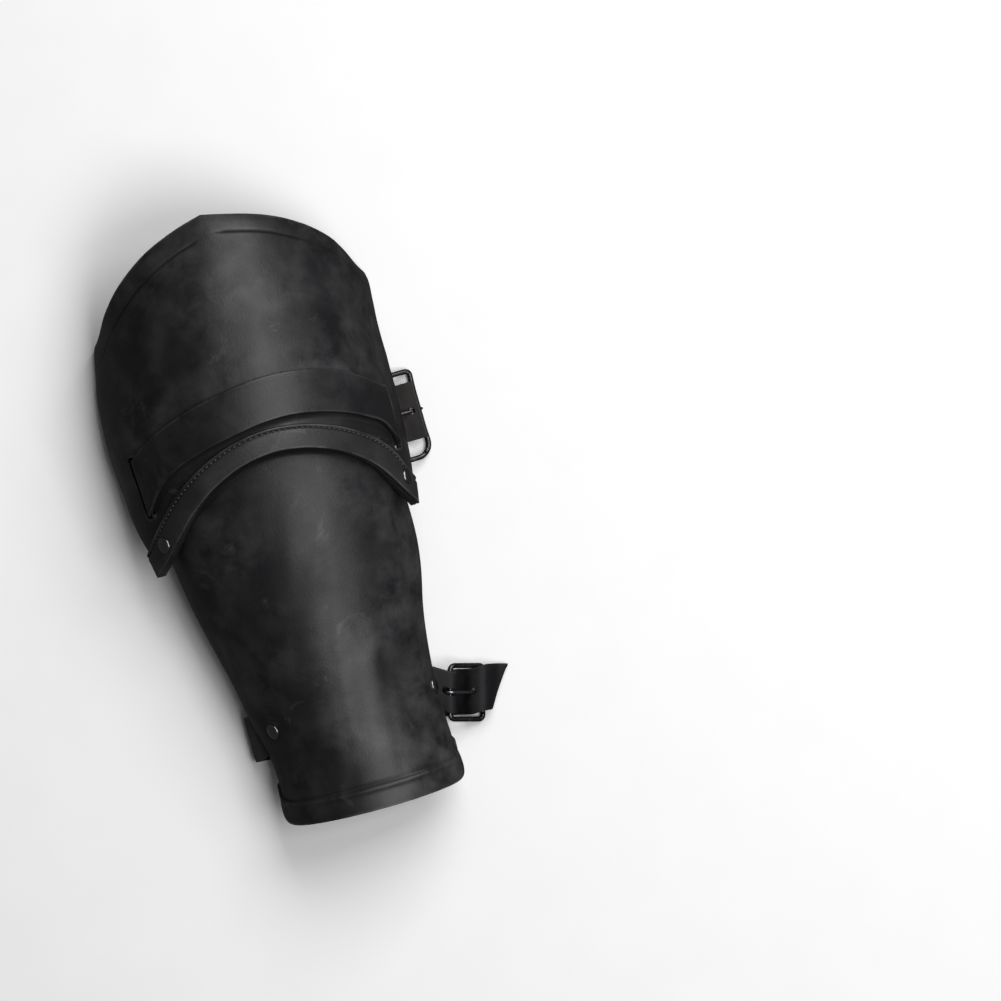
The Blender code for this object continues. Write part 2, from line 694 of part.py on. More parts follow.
def make_buckle(name, buckle, strap, fold, sheet, collection, cutters, finishes):
    """A frame and its prong, with the prong's slot in the fold and its hole in the free strap."""
    tube(f"{name}_frame", buckle.frame_points(), BAR_RADIUS, True, collection, finishes["black"])
    tube(f"{name}_prong", buckle.prong_points(), PRONG_RADIUS, False, collection, finishes["bright"])
    reach = BAR_RADIUS + GAP + 2 * PRONG_RADIUS + sheet + GAP
    size = (2 * reach, 2 * PRONG_RADIUS + 4 * GAP, 2 * reach)
    cut(fold, box_cutter(f"{name}_prong_slot", buckle.hinge, size, buckle.yaw, cutters))
    start, end = buckle.prong_line()
    middle = start * 0.35 + end * 0.65
    way = (end - start) / 2.6
    cut(strap, rod_cutter(f"{name}_prong_hole", middle - way, middle + way, PRONG_RADIUS + 2 * GAP, cutters))


def make_rivet(name, sheets, point, normal, collection, cutters, finishes):
    """A domed rivet through a stack of sheets. Rays along its axis find how thick the stack is."""
    point, normal = Vector(point), Vector(normal)
    depsgraph = bpy.context.evaluated_depsgraph_get()
    trees = [BVHTree.FromObject(sheet, depsgraph) for sheet in sheets]
    side = normal.orthogonal().normalized()
    far = 30 * MM

    def reach(radius, direction):
        """The furthest that the stack stands out along a direction, under a cap of this radius."""
        starts = [point]
        for k in range(8):
            starts.append(point + Matrix.Rotation(math.radians(45 * k), 3, normal) @ side * radius)
        best = -far
        for start in starts:
            for tree in trees:
                hit = tree.ray_cast(start + direction * far, -direction, 2 * far)[0]
                if hit:
                    best = max(best, (hit - point).dot(direction))
        return best

    top = reach(RIVET_CAP_RADIUS, normal) + GAP
    bottom = -reach(RIVET_BACK_RADIUS, -normal) - GAP
    back = bottom - RIVET_BACK_HEIGHT
    dome = [
        (RIVET_CAP_RADIUS * math.sin(math.radians(a)), top + RIVET_CAP_HEIGHT * math.cos(math.radians(a)))
        for a in (0, 22, 44, 66, 84)
    ]
    profile = [
        *dome, (RIVET_CAP_RADIUS, top), (RIVET_SHANK_RADIUS, top), (RIVET_SHANK_RADIUS, bottom),
        (RIVET_BACK_RADIUS, bottom), (RIVET_BACK_RADIUS, back), (0, back),
    ]
    bm = bmesh.new()
    verts = [bm.verts.new((r, 0, z)) for r, z in profile]
    for a, b in zip(verts, verts[1:]):
        bm.edges.new((a, b))
    mesh = bpy.data.meshes.new(name)
    bm.to_mesh(mesh)
    bm.free()
    rivet = add_object(name, mesh, collection, finishes["bright"])
    screw = rivet.modifiers.new("Turn", "SCREW")
    screw.steps = screw.render_steps = 16
    screw.use_merge_vertices = True
    screw.merge_threshold = 0.01 * MM
    screw.use_smooth_shade = True
    rivet.matrix_world = Matrix.Translation(point) @ normal.to_track_quat("Z", "Y").to_matrix().to_4x4()
    ends = (point + normal * far, point - normal * far)
    for sheet in sheets:
        cut(sheet, rod_cutter(f"{name}_hole_{sheet.name}", *ends, RIVET_SHANK_RADIUS + GAP, cutters))


def centre_on_floor(collection, cutters):
    """Moves everything so that the origin is the middle of the footprint, on the floor."""
    depsgraph = bpy.context.evaluated_depsgraph_get()
    corners = []
    for obj in collection.objects:
        mesh = obj.evaluated_get(depsgraph).to_mesh()
        co = np.array([obj.matrix_world @ v.co for v in mesh.vertices])
        corners += [co.min(axis=0), co.max(axis=0)]
        obj.evaluated_get(depsgraph).to_mesh_clear()
    low, high = np.min(corners, axis=0), np.max(corners, axis=0)
    shift = Vector((-(low[0] + high[0]) / 2, -(low[1] + high[1]) / 2, -low[2]))
    for obj in [*collection.objects, *cutters.objects]:
        obj.matrix_world = Matrix.Translation(shift) @ obj.matrix_world


def main():
    for obj in list(bpy.data.objects):
        bpy.data.objects.remove(obj)
    collection = bpy.data.collections.new("bracer")
    cutters = bpy.data.collections.new("cutters")
    for each in (collection, cutters):
        bpy.context.scene.collection.children.link(each)
    finishes = {
        "leather": material("black_leather", LEATHER, 0.45, 0.0),
        "trim": material("trim_leather", TRIM_LEATHER, 0.5, 0.0),
        "strap": material("strap_leather", STRAP_LEATHER, 0.4, 0.0),
        "black": material("black_metal", BLACK_METAL, 0.35, 1.0),
        "bright": material("bright_metal", BRIGHT_METAL, 0.25, 1.0),
    }
    elbow, trim, forearm = make_plates(collection, finishes)
    elbow_strap, wrist_strap, chape = make_straps(collection, finishes)
    bpy.context.view_layer.update()
    ear_down = ELBOW_REACH - EAR_RIVET_UP
    wrist_down = WRIST_END - WRIST_STRAP_UP
    for word, ear_turn, wrist_turn, held in (
        ("left", -LEFT_EAR_RIVET_TURN, -LEFT_WRIST_RIVET_TURN, wrist_strap),
        ("right", RIGHT_EAR_RIVET_TURN, RIGHT_WRIST_RIVET_TURN, chape),
    ):
        spot = ELBOW.point(ear_turn, ear_down), ELBOW.normal(ear_turn, ear_down)
        make_rivet(f"ear_rivet_{word}", (trim, elbow, forearm), *spot, collection, cutters, finishes)
        spot = FOREARM.point(wrist_turn, wrist_down), FOREARM.normal(wrist_turn, wrist_down)
        make_rivet(f"wrist_rivet_{word}", (forearm, held), *spot, collection, cutters, finishes)
    for word, side in (("left", -1), ("right", 1)):
        cut(elbow, slot_cutter(f"slot_{word}", side, cutters))
    held = (elbow_strap, elbow_strap, ELBOW_STRAP_SHEET)
    make_buckle("elbow", elbow_buckle(), *held, collection, cutters, finishes)
    make_buckle("wrist", wrist_buckle(), wrist_strap, chape, CHAPE_SHEET, collection, cutters, finishes)
    bpy.context.view_layer.update()
    centre_on_floor(collection, cutters)


main()
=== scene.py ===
"""The looks of a black leather arm bracer: its leather, straps, stitches, buckles and rivets.

Every piece is a surface of two parameters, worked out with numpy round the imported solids. The bracer lies
with its open back on the floor: +Z is up, +Y points up the arm, and the buckles are at +X.
"""

import math

import bmesh
import bpy
import numpy as np
from bpy.props import FloatProperty, FloatVectorProperty, PointerProperty
from mathutils import Matrix


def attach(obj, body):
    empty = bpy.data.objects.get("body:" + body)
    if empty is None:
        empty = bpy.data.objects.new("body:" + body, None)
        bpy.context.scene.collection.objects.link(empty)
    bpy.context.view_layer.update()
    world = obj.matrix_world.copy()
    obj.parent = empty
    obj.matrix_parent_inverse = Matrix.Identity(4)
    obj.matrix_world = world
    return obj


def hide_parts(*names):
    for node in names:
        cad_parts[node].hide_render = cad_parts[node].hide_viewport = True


bl_info = {
    "name": "Leather Bracer",
    "version": (1, 0, 0),
    "blender": (4, 5, 0),
    "location": "3D View > Sidebar > Bracer",
    "description": "Builds the leather, straps, buckles and rivets of an arm bracer on its packed solids",
    "category": "Object",
}

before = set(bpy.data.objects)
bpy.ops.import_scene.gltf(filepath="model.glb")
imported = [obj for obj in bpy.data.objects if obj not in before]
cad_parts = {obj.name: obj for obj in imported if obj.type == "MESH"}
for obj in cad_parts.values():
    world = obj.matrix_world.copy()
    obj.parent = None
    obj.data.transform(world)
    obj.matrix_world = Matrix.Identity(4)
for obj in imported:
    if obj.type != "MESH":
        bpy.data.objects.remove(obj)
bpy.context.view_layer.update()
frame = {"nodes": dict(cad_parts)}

MM = 0.001
GAP = 0.3 * MM                    # between pieces that touch on the real bracer

# From the frame of the tables below, where the peak is at down = 0, to the row's frame
SHIFT = np.array([-4.2668, 154.9992, 0.0025]) * MM

# The elbow plate
ELBOW_WIDTH = 148 * MM            # across its widest part
ELBOW_REACH = 168.5 * MM          # from its peak down to the tips of its ears
ELBOW_RISE = 90 * MM              # height of its deepest section
ELBOW_SHEET = 3 * MM
PEAK_DROP = 50 * MM               # from the peak down to the top corners
ARCH_DROP = 44.5 * MM             # from the top of the arch down to the ear tips
ELBOW_SIDE_TURN = 84.0            # degrees from the crown to the side edge
LEFT_EAR_TIP_TURN = 66.5
RIGHT_EAR_TIP_TURN = 70.0

# The strip along the arch
TRIM_WIDTH = 12 * MM
TRIM_SHEET = 2 * MM
TRIM_STITCH_IN = 1.7 * MM         # from the strip's upper edge in to its stitches

# The forearm plate
FOREARM_WIDTH = 129 * MM          # across its upper end
FOREARM_LENGTH = 206 * MM
FOREARM_RISE = 57 * MM
FOREARM_SHEET = 3 * MM
OVERLAP = 20 * MM                 # how far its crown reaches under the arch
FOREARM_SHOULDER_DROP = 40 * MM   # from its hidden top edge's crown down to its shoulders
FOREARM_SIDE_TURN = 82.0
WRIST_BULGE = 5.2 * MM            # how far the wrist edge bows out
WRIST_BULGE_ASIDE = 0.08          # where it bows out most, as a share of the way to the right side
WRIST_CORNER = 6 * MM             # how much its corners are cut back

# The elbow strap and its buckle
ELBOW_STRAP_WIDTH = 29 * MM
ELBOW_STRAP_WAIST = 21.3 * MM     # its width over the crown
ELBOW_STRAP_SHEET = 2.4 * MM
ELBOW_STRAP_DOWN = 97.5 * MM      # from the peak to the strap's middle, where it lies highest
ELBOW_STRAP_SAG = 25.5 * MM       # how much lower it lies at the slots
LEFT_SLOT_TURN = 57.5
RIGHT_SLOT_TURN = 66.5
SLOT_WIDTH = 9.5 * MM
SLOT_PLAY = 1.5 * MM              # at each end of a slot
SLOT_CORNER = 2 * MM
ELBOW_BAR_OUT = 10.3 * MM         # from the plate's edge out to the buckle's outer bar
ELBOW_FRAME_DEPTH = 20.5 * MM     # between the middles of its two bars
ELBOW_FRAME_LEAN = 25.0
ELBOW_PLAY_ABOVE = 4.2 * MM       # between the strap and the frame's upper side bar
ELBOW_PLAY_BELOW = 7.6 * MM       # and its lower one
ELBOW_LOWER_CORNER = 8 * MM       # the frame's lower corners are rounder
FOLD_TAIL = 22 * MM

# The wrist strap and its buckle
WRIST_STRAP_WIDTH = 23 * MM
WRIST_STRAP_SHEET = 2.2 * MM
WRIST_STRAP_UP = 52 * MM          # from the wrist edge up to the rivets
LEFT_WRIST_RIVET_TURN = 55.0
RIGHT_WRIST_RIVET_TURN = 74.5
WRIST_STRAP_LEAN = 10.3 * MM      # how far the strap drifts towards the wrist on its way to the buckle
STRAP_TIP = 9 * MM                # the slanted tip past the buckle
TIP_SLIDE = 3 * MM                # how far the tip has slid towards the elbow
CHAPE_SHEET = 2 * MM
CHAPE_WIDTH = 21 * MM
WRIST_BAR_OUT = 21.4 * MM         # from the plate's edge out to the middle of the outer bar
WRIST_FRAME_DEPTH = 20 * MM
WRIST_FRAME_LEAN = 33.5
WRIST_FRAME_YAW = 16.0            # how far the buckle points towards the wrist
WRIST_FRAME_PLAY = 0.6 * MM       # between the strap's edge and the frame's side bar

# Metal
BAR_RADIUS = 1.3 * MM
PRONG_RADIUS = 1.1 * MM
FRAME_CORNER = 2.6 * MM
FRAME_PINCH = 0.8 * MM            # how far the outer bar bows in
RIVET_CAP_RADIUS = 4.2 * MM
RIVET_CAP_HEIGHT = 1.9 * MM
RIVET_BACK_RADIUS = 3.8 * MM
RIVET_BACK_HEIGHT = 1.0 * MM
RIVET_SHANK_RADIUS = 1.6 * MM
EAR_RIVET_UP = 15 * MM            # above the ear tips
LEFT_EAR_RIVET_TURN = 52.7
RIGHT_EAR_RIVET_TURN = 63.7

# Each row is a cross section of the elbow plate.
# along: share of ELBOW_REACH down from the peak; half_width: share of half of ELBOW_WIDTH
# crown: the crown's height over the widest level, share of ELBOW_RISE
# level: the widest level's height over the floor, share of ELBOW_RISE
# aside: sideways offset, share of half of ELBOW_WIDTH
SECTION_COLUMNS = ("along", "half_width", "crown", "level", "aside")
ELBOW_SECTIONS = (
    (0.00, 0.870, 0.880, -0.145, 0.000),
    (0.15, 0.930, 0.965, -0.122, 0.000),
    (0.30, 0.962, 1.010, -0.101, 0.004),
    (0.45, 0.989, 0.990, -0.050, -0.038),
    (0.60, 1.000, 0.915, 0.028, -0.050),
    (0.75, 0.992, 0.845, 0.055, -0.047),
    (0.90, 0.978, 0.765, 0.082, -0.046),
    (1.00, 0.966, 0.735, 0.100, -0.045),
)

# The same columns for the forearm plate, from its hidden top edge down to the wrist edge, as shares of
# FOREARM_LENGTH, half of FOREARM_WIDTH and FOREARM_RISE.
FOREARM_SECTIONS = (
    (0.00, 0.965, 0.945, 0.300, -0.030),
    (0.12, 0.972, 0.955, 0.325, -0.030),
    (0.25, 0.960, 0.975, 0.318, -0.022),
    (0.40, 0.921, 0.965, 0.281, 0.006),
    (0.55, 0.823, 0.907, 0.251, 0.010),
    (0.70, 0.748, 0.847, 0.223, 0.022),
    (0.85, 0.708, 0.802, 0.198, 0.060),
    (0.93, 0.736, 0.804, 0.187, 0.058),
    (1.00, 0.757, 0.805, 0.175, 0.060),
)

# The peaked top edge, as a drop against the way round from the crown: across is the share of the side edge's
# turn, and left and right are the drops on either side, as shares of PEAK_DROP.
PEAK_COLUMNS = ("across", "left", "right")
PEAK_EDGE = (
    (0.00, 0.000, 0.000),
    (0.07, 0.032, 0.028),
    (0.20, 0.106, 0.089),
    (0.36, 0.237, 0.186),
    (0.54, 0.440, 0.358),
    (0.73, 0.700, 0.603),
    (0.88, 0.914, 0.900),
    (1.00, 1.000, 1.000),
)

# The arched lower edge: across goes from -1 at the left side to 1 at the right, and drop is the share of
# ARCH_DROP.
ARCH_COLUMNS = ("across", "drop")
ARCH_EDGE = (
    (-1.00, 1.000),
    (-0.80, 0.845),
    (-0.58, 0.615),
    (-0.40, 0.385),
    (-0.23, 0.175),
    (-0.10, 0.055),
    (0.06, 0.000),
    (0.20, 0.045),
    (0.34, 0.155),
    (0.50, 0.335),
    (0.66, 0.550),
    (0.82, 0.785),
    (1.00, 1.000),
)

# The elbow strap's course from the left slot at -1 to the right one at 1. sag: share of ELBOW_STRAP_SAG;
# widening: how far its width has grown from the waist to the full width.
COURSE_COLUMNS = ("across", "sag", "widening")
STRAP_COURSE = (
    (-1.00, 1.00, 1.00),
    (-0.82, 0.68, 0.35),
    (-0.63, 0.43, 0.07),
    (-0.45, 0.27, 0.05),
    (-0.16, 0.09, 0.05),
    (0.22, 0.00, 0.00),
    (0.47, 0.14, 0.05),
    (0.72, 0.42, 0.07),
    (0.92, 0.74, 0.25),
    (1.00, 0.96, 1.00),
)

ELBOW_STRAP_LANES = 5             # points across a strap on its route
STRAP_LANES = 3

ALONG_ARM = np.array([0.0, 1.0, 0.0])
UP = np.array([0.0, 0.0, 1.0])

MIDDLE_HEIGHT = 30 * MM           # of the outline that the camera's width is taken at

# Tooled lines, pressed into the damp leather
LINE_IN = (11 * MM, 9 * MM)       # from the elbow plate's top edge, at the left and at the right
LINE_DEPTH = 0.7 * MM
LINE_HALF = 0.75 * MM
WRIST_LINE_IN = 11.5 * MM         # from the wrist edge
BEAD_HEIGHT = 0.8 * MM            # the raised bead beside the wrist line
BEAD_HALF = 1.5 * MM
PAINTED_SHADE_REACH = 6 * MM                # how far painted shade reaches out from under the strap and the arch
PAINTED_SHADE_FADE = 4 * MM                 # over how much of that it fades away
EAR_ASIDE = 0.046                 # the elbow plate's mean offset to the left at its ears

# Edges, the strip's relief, and the hollows that the rivets press
EDGE_ROLL = 0.5 * MM              # how far a plate's edge is rolled down
EDGE_ROLL_REACH = 2.5 * MM
TRIM_EDGE_DROP = 0.25 * MM        # how much thinner the strip along the arch is at its edges
TRIM_CROWN = 0.35 * MM            # how much its middle rises over them
TRIM_CHANNEL_DEPTH = 0.55 * MM
TRIM_CHANNEL_HALF = 0.6 * MM
TRIM_STITCHED = 0.93              # how far its stitches go, as a share of the way to its ends
FOREARM_DIMPLE = 0.55 * MM
FOREARM_DIMPLE_REACH = 6.5 * MM
TRIM_DIMPLE = 0.35 * MM
TRIM_DIMPLE_REACH = 5.5 * MM
EAR_RIVET_SINK = 0.4 * MM         # how much lower than the solid's a rivet's cap lies
WRIST_RIVET_SINK = 0.5 * MM

# Holes through the straps: half the length, half the width and the corners' radius
PRONG_HOLE = (2.2 * MM, 1.7 * MM, 1.6 * MM)
ELBOW_FOLD_SLOT = (9.5 * MM, 1.7 * MM, 1.6 * MM)
CHAPE_FOLD_SLOT = (8.5 * MM, 1.8 * MM, 1.7 * MM)
ELBOW_PRONG_SHARE = 0.72          # where a prong goes through its strap, as a share of the prong's length
WRIST_PRONG_SHARE = 0.6

# The stage
FLOOR_REACH = 3.0                 # from the middle to the floor's edges
LIGHT_AIM = (0.0, 0.0, 0.03)
KEY_PLACE = (0.74, 0.74, 1.25)
KEY_SIZE = (1.15, 1.2)
FILL_PLACE = (0.55, -0.42, 1.45)
FILL_SIZE = (0.95, 0.9)
CAMERA_AIM = np.array([104.8, -178.3, 0.0]) * MM    # what the picture's middle shows, in the tables' frame


def read(table, columns, column, at):
    """Reads one column of a table at places in its first column.

    Between two rows it is the cubic that has their values and slopes, where a row's slope is that of the
    line between its neighbours.
    """
    rows = np.array(table, float)
    x, y = rows[:, 0], rows[:, columns.index(column)]
    slope = np.gradient(y, x)
    at = np.clip(np.asarray(at, float), x[0], x[-1])
    i = np.clip(np.searchsorted(x, at, side="right") - 1, 0, len(x) - 2)
    h = x[i + 1] - x[i]
    t = (at - x[i]) / h
    return (
        (2 * t**3 - 3 * t**2 + 1) * y[i] + (t**3 - 2 * t**2 + t) * h * slope[i]
        + (3 * t**2 - 2 * t**3) * y[i + 1] + (t**3 - t**2) * h * slope[i + 1]
    )


def ease(t):
    """3t squared minus 2t cubed, from 0 to 1."""
    t = np.clip(t, 0.0, 1.0)
    return t * t * (3 - 2 * t)


def bump(distance, half):
    """A round bump: e to the power of minus the square of distance over half."""
    return np.exp(-(distance / half) ** 2)


def spaced(start, end, step, fine=(), reach=1.0, fine_step=None):
    """Places from start to end about a step apart, and about a fine step apart within reach of the fine ones.

    They are where the running sum of one over the local step passes whole numbers.
    """
    x = np.linspace(start, end, 4001)
    local = np.full_like(x, step)
    for place in fine:
        near = bump(x - place, reach)
        local = local * (1 - near) + (fine_step or step) * near
    count = np.concatenate([[0], np.cumsum(np.diff(x) / ((local[1:] + local[:-1]) / 2))])
    whole = max(2, round(count[-1]))
    return np.interp(np.linspace(0, count[-1], whole + 1), count, x)


class Plate:
    """A bent sheet, given by its cross sections."""

    def __init__(self, sections, start, length, width, rise):
        self.sections, self.start, self.length = sections, start, length
        self.half, self.rise = width / 2, rise

    def skin(self, turn, down):
        """An ellipse arc round the arm at each distance down from the peak.

        x is the half width times the sine of the turn, plus the offset aside, and z is the crown's height
        times its cosine, plus the level.
        """
        turn, down = np.broadcast_arrays(np.radians(np.asarray(turn, float)), np.asarray(down, float))
        along = (down - self.start) / self.length
        column = {c: read(self.sections, SECTION_COLUMNS, c, along) for c in SECTION_COLUMNS[1:]}
        x = self.half * (column["aside"] + column["half_width"] * np.sin(turn))
        z = self.rise * (column["level"] + column["crown"] * np.cos(turn))
        return np.stack([x, -down, z], axis=-1)

    def normal(self, turn, down):
        """The cross product of the steps down the arm and round it, made one long."""
        step_turn, step_down = 0.2, 0.2 * MM
        low = self.start + step_down
        down = np.clip(down, low, self.start + self.length - step_down)
        round_arm = self.skin(turn + step_turn, down) - self.skin(turn - step_turn, down)
        down_arm = self.skin(turn, down + step_down) - self.skin(turn, down - step_down)
        n = np.cross(down_arm, round_arm)
        return n / np.linalg.norm(n, axis=-1, keepdims=True)

    def point(self, turn, down, lift=0.0):
        """The skin's point plus lift times the normal."""
        lift = np.asarray(lift, float)[..., None]
        return self.skin(turn, down) + self.normal(turn, down) * lift


ARCH_TOP = ELBOW_REACH - ARCH_DROP
FOREARM_TOP = ARCH_TOP - OVERLAP
WRIST_END = FOREARM_TOP + FOREARM_LENGTH
ELBOW = Plate(ELBOW_SECTIONS, 0.0, ELBOW_REACH, ELBOW_WIDTH, ELBOW_RISE)
FOREARM = Plate(FOREARM_SECTIONS, FOREARM_TOP, FOREARM_LENGTH, FOREARM_WIDTH, FOREARM_RISE)
ELBOW_ARC = ELBOW_WIDTH / 2 * math.radians(ELBOW_SIDE_TURN)
FOREARM_ARC = FOREARM_WIDTH / 2 * math.radians(FOREARM_SIDE_TURN)


def elbow_side_turn(across, down):
    """The side edge's turn: it swings in from the straight side to the ear tip."""
    tip = np.where(np.asarray(across) < 0, LEFT_EAR_TIP_TURN, RIGHT_EAR_TIP_TURN)
    share = (down - ARCH_TOP) / ARCH_DROP
    return ELBOW_SIDE_TURN + (tip - ELBOW_SIDE_TURN) * ease(share)


def peak_edge(across):
    left, right = (read(PEAK_EDGE, PEAK_COLUMNS, side, np.abs(across)) for side in ("left", "right"))
    return PEAK_DROP * np.where(np.asarray(across) < 0, left, right)


def arch_edge(across):
    return ARCH_TOP + ARCH_DROP * read(ARCH_EDGE, ARCH_COLUMNS, "drop", across)


def forearm_top_edge(across):
    return FOREARM_TOP + FOREARM_SHOULDER_DROP * np.abs(across) ** 1.3


def wrist_edge(across):
    return WRIST_END - WRIST_BULGE * (across - WRIST_BULGE_ASIDE) ** 2 - WRIST_CORNER * across**12


def stretch(edge, across, arc):
    """How much longer a step down is than the way straight in from a slanting edge.

    It is the root of 1 plus the slope squared.
    """
    step = 0.01
    across = np.clip(across, step - 1, 1 - step)
    slope = (edge(across + step) - edge(across - step)) / (2 * step * arc)
    return np.sqrt(1 + slope**2)


def between(top, bottom, across, offset, total, arc):
    """The distance down for a place that is offset from the top edge.

    Near the top edge it is the edge plus offset times its stretch, near the bottom edge it is that edge minus
    what is left of total times its stretch, and on the way it eases from the one to the other.
    """
    near_top = top(across) + offset * stretch(top, across, arc)
    near_bottom = bottom(across) - (total - offset) * stretch(bottom, across, arc)
    share = ease(offset / total)
    return near_top * (1 - share) + near_bottom * share


def rung(centre, half, lanes, side=ALONG_ARM):
    """Points across a strap at one place of its route, in a straight line."""
    reach = np.linspace(-half, half, lanes)
    return np.array(centre, float) + reach[:, None] * side


def skin_rung(plate, turn, down, lift, half, lanes):
    """Points across a strap that lies along a plate's surface."""
    return plate.point(turn, down - np.linspace(-half, half, lanes), lift)


def smooth_route(rungs, step):
    """Rungs about a step apart on the cubics through the given ones, timed by the root of their spans."""
    rungs = np.array(rungs)
    middle = rungs[:, rungs.shape[1] // 2]
    span = np.linalg.norm(np.diff(middle, axis=0), axis=1)
    where = np.concatenate([[0], np.cumsum(np.sqrt(span))])
    tangent = np.gradient(rungs, where, axis=0)
    route = []
    for i, length in enumerate(span):
        count = max(1, round(length / step))
        h = where[i + 1] - where[i]
        t = (np.arange(count) / count)[:, None, None]
        route.append(
            (2 * t**3 - 3 * t**2 + 1) * rungs[i] + (t**3 - 2 * t**2 + t) * h * tangent[i]
            + (3 * t**2 - 2 * t**3) * rungs[i + 1] + (t**3 - t**2) * h * tangent[i + 1]
        )
    return np.concatenate([*route, rungs[-1:]])


def route_distance(route):
    middle = route[:, route.shape[1] // 2]
    return np.concatenate([[0], np.cumsum(np.linalg.norm(np.diff(middle, axis=0), axis=1))])


def on_floor(route, thickness):
    """Keeps a strap's underside from going below the floor."""
    route[:, :, 2] = np.maximum(route[:, :, 2], thickness / 2)
    return route


class Buckle:
    """Where a buckle lies: its outer bar, its hinge bar and the slanted plane between them.

    outer is the point of the outer bar that the prong lies over, and spans are the ways from there up and
    down the arm to the frame's two side bars.
    """

    def __init__(self, outer, depth, lean, yaw, spans, corners):
        lean, yaw = math.radians(lean), math.radians(yaw)
        self.along = np.array([math.cos(yaw), -math.sin(yaw), 0.0])
        self.side = np.array([math.sin(yaw), math.cos(yaw), 0.0])
        self.out = self.along * math.cos(lean) - UP * math.sin(lean)
        self.up = self.along * math.sin(lean) + UP * math.cos(lean)
        self.outer = np.array(outer)
        self.hinge = self.outer - self.out * depth
        self.depth, self.spans, self.corners = depth, spans, corners

    def prong_line(self):
        ring = BAR_RADIUS + GAP + PRONG_RADIUS
        return self.hinge + self.up * ring, self.outer + self.up * ring


def elbow_buckle():
    """The elbow buckle lies at the right, just under the plate's edge, with its outer bar near the floor."""
    down = ELBOW_STRAP_DOWN + ELBOW_STRAP_SAG
    edge = ELBOW.skin(elbow_side_turn(1, down), down)
    outer = (edge[0] + ELBOW_BAR_OUT - BAR_RADIUS, -down, BAR_RADIUS + GAP)
    reach = ELBOW_STRAP_WIDTH / 2 + BAR_RADIUS
    spans = (reach + ELBOW_PLAY_ABOVE, reach + ELBOW_PLAY_BELOW)
    return Buckle(outer, ELBOW_FRAME_DEPTH, ELBOW_FRAME_LEAN, 0.0, spans, (FRAME_CORNER, ELBOW_LOWER_CORNER))


def wrist_buckle():
    """The wrist buckle lies beside the right edge, a little nearer the wrist than the rivets."""
    down = WRIST_END - WRIST_STRAP_UP + WRIST_STRAP_LEAN
    edge = FOREARM.skin(FOREARM_SIDE_TURN, down)
    outer = (edge[0] + WRIST_BAR_OUT, -down, BAR_RADIUS + GAP)
    span = WRIST_STRAP_WIDTH / 2 + BAR_RADIUS + WRIST_FRAME_PLAY
    corners = (FRAME_CORNER, FRAME_CORNER)
    return Buckle(outer, WRIST_FRAME_DEPTH, WRIST_FRAME_LEAN, WRIST_FRAME_YAW, (span, span), corners)


def loop_round(buckle, towards, radius, count=9):
    """A half turn round a buckle's hinge bar, open on the side that the leather comes from."""
    towards = buckle.along * towards[0] + UP * towards[1]
    towards /= np.linalg.norm(towards)
    across = np.cross(buckle.side, towards)
    angles = np.linspace(0, math.pi, count)
    return [buckle.hinge + radius * (across * math.cos(a) - towards * math.sin(a)) for a in angles]


def flat(point, height):
    """The same place at another height."""
    return np.array([point[0], point[1], height])


def rise_through(buckle, sheet, share):
    """A free strap's way off the floor, up past the prong at a share of its length, and over its tip."""
    low, tip = buckle.prong_line()
    floor = sheet / 2
    crossing = low * (1 - share) + tip * share
    above = tip + buckle.up * (PRONG_RADIUS + GAP + sheet / 2)
    start = buckle.hinge * 0.85 + crossing * 0.15
    rising = start * 0.45 + crossing * 0.55
    run = float((above - crossing) @ buckle.along)
    return [
        flat(start, floor),
        flat(rising, floor + (crossing[2] - floor) * 0.35),
        crossing,
        above + (UP * 0.35 - buckle.along * 0.3) * run,
    ], above


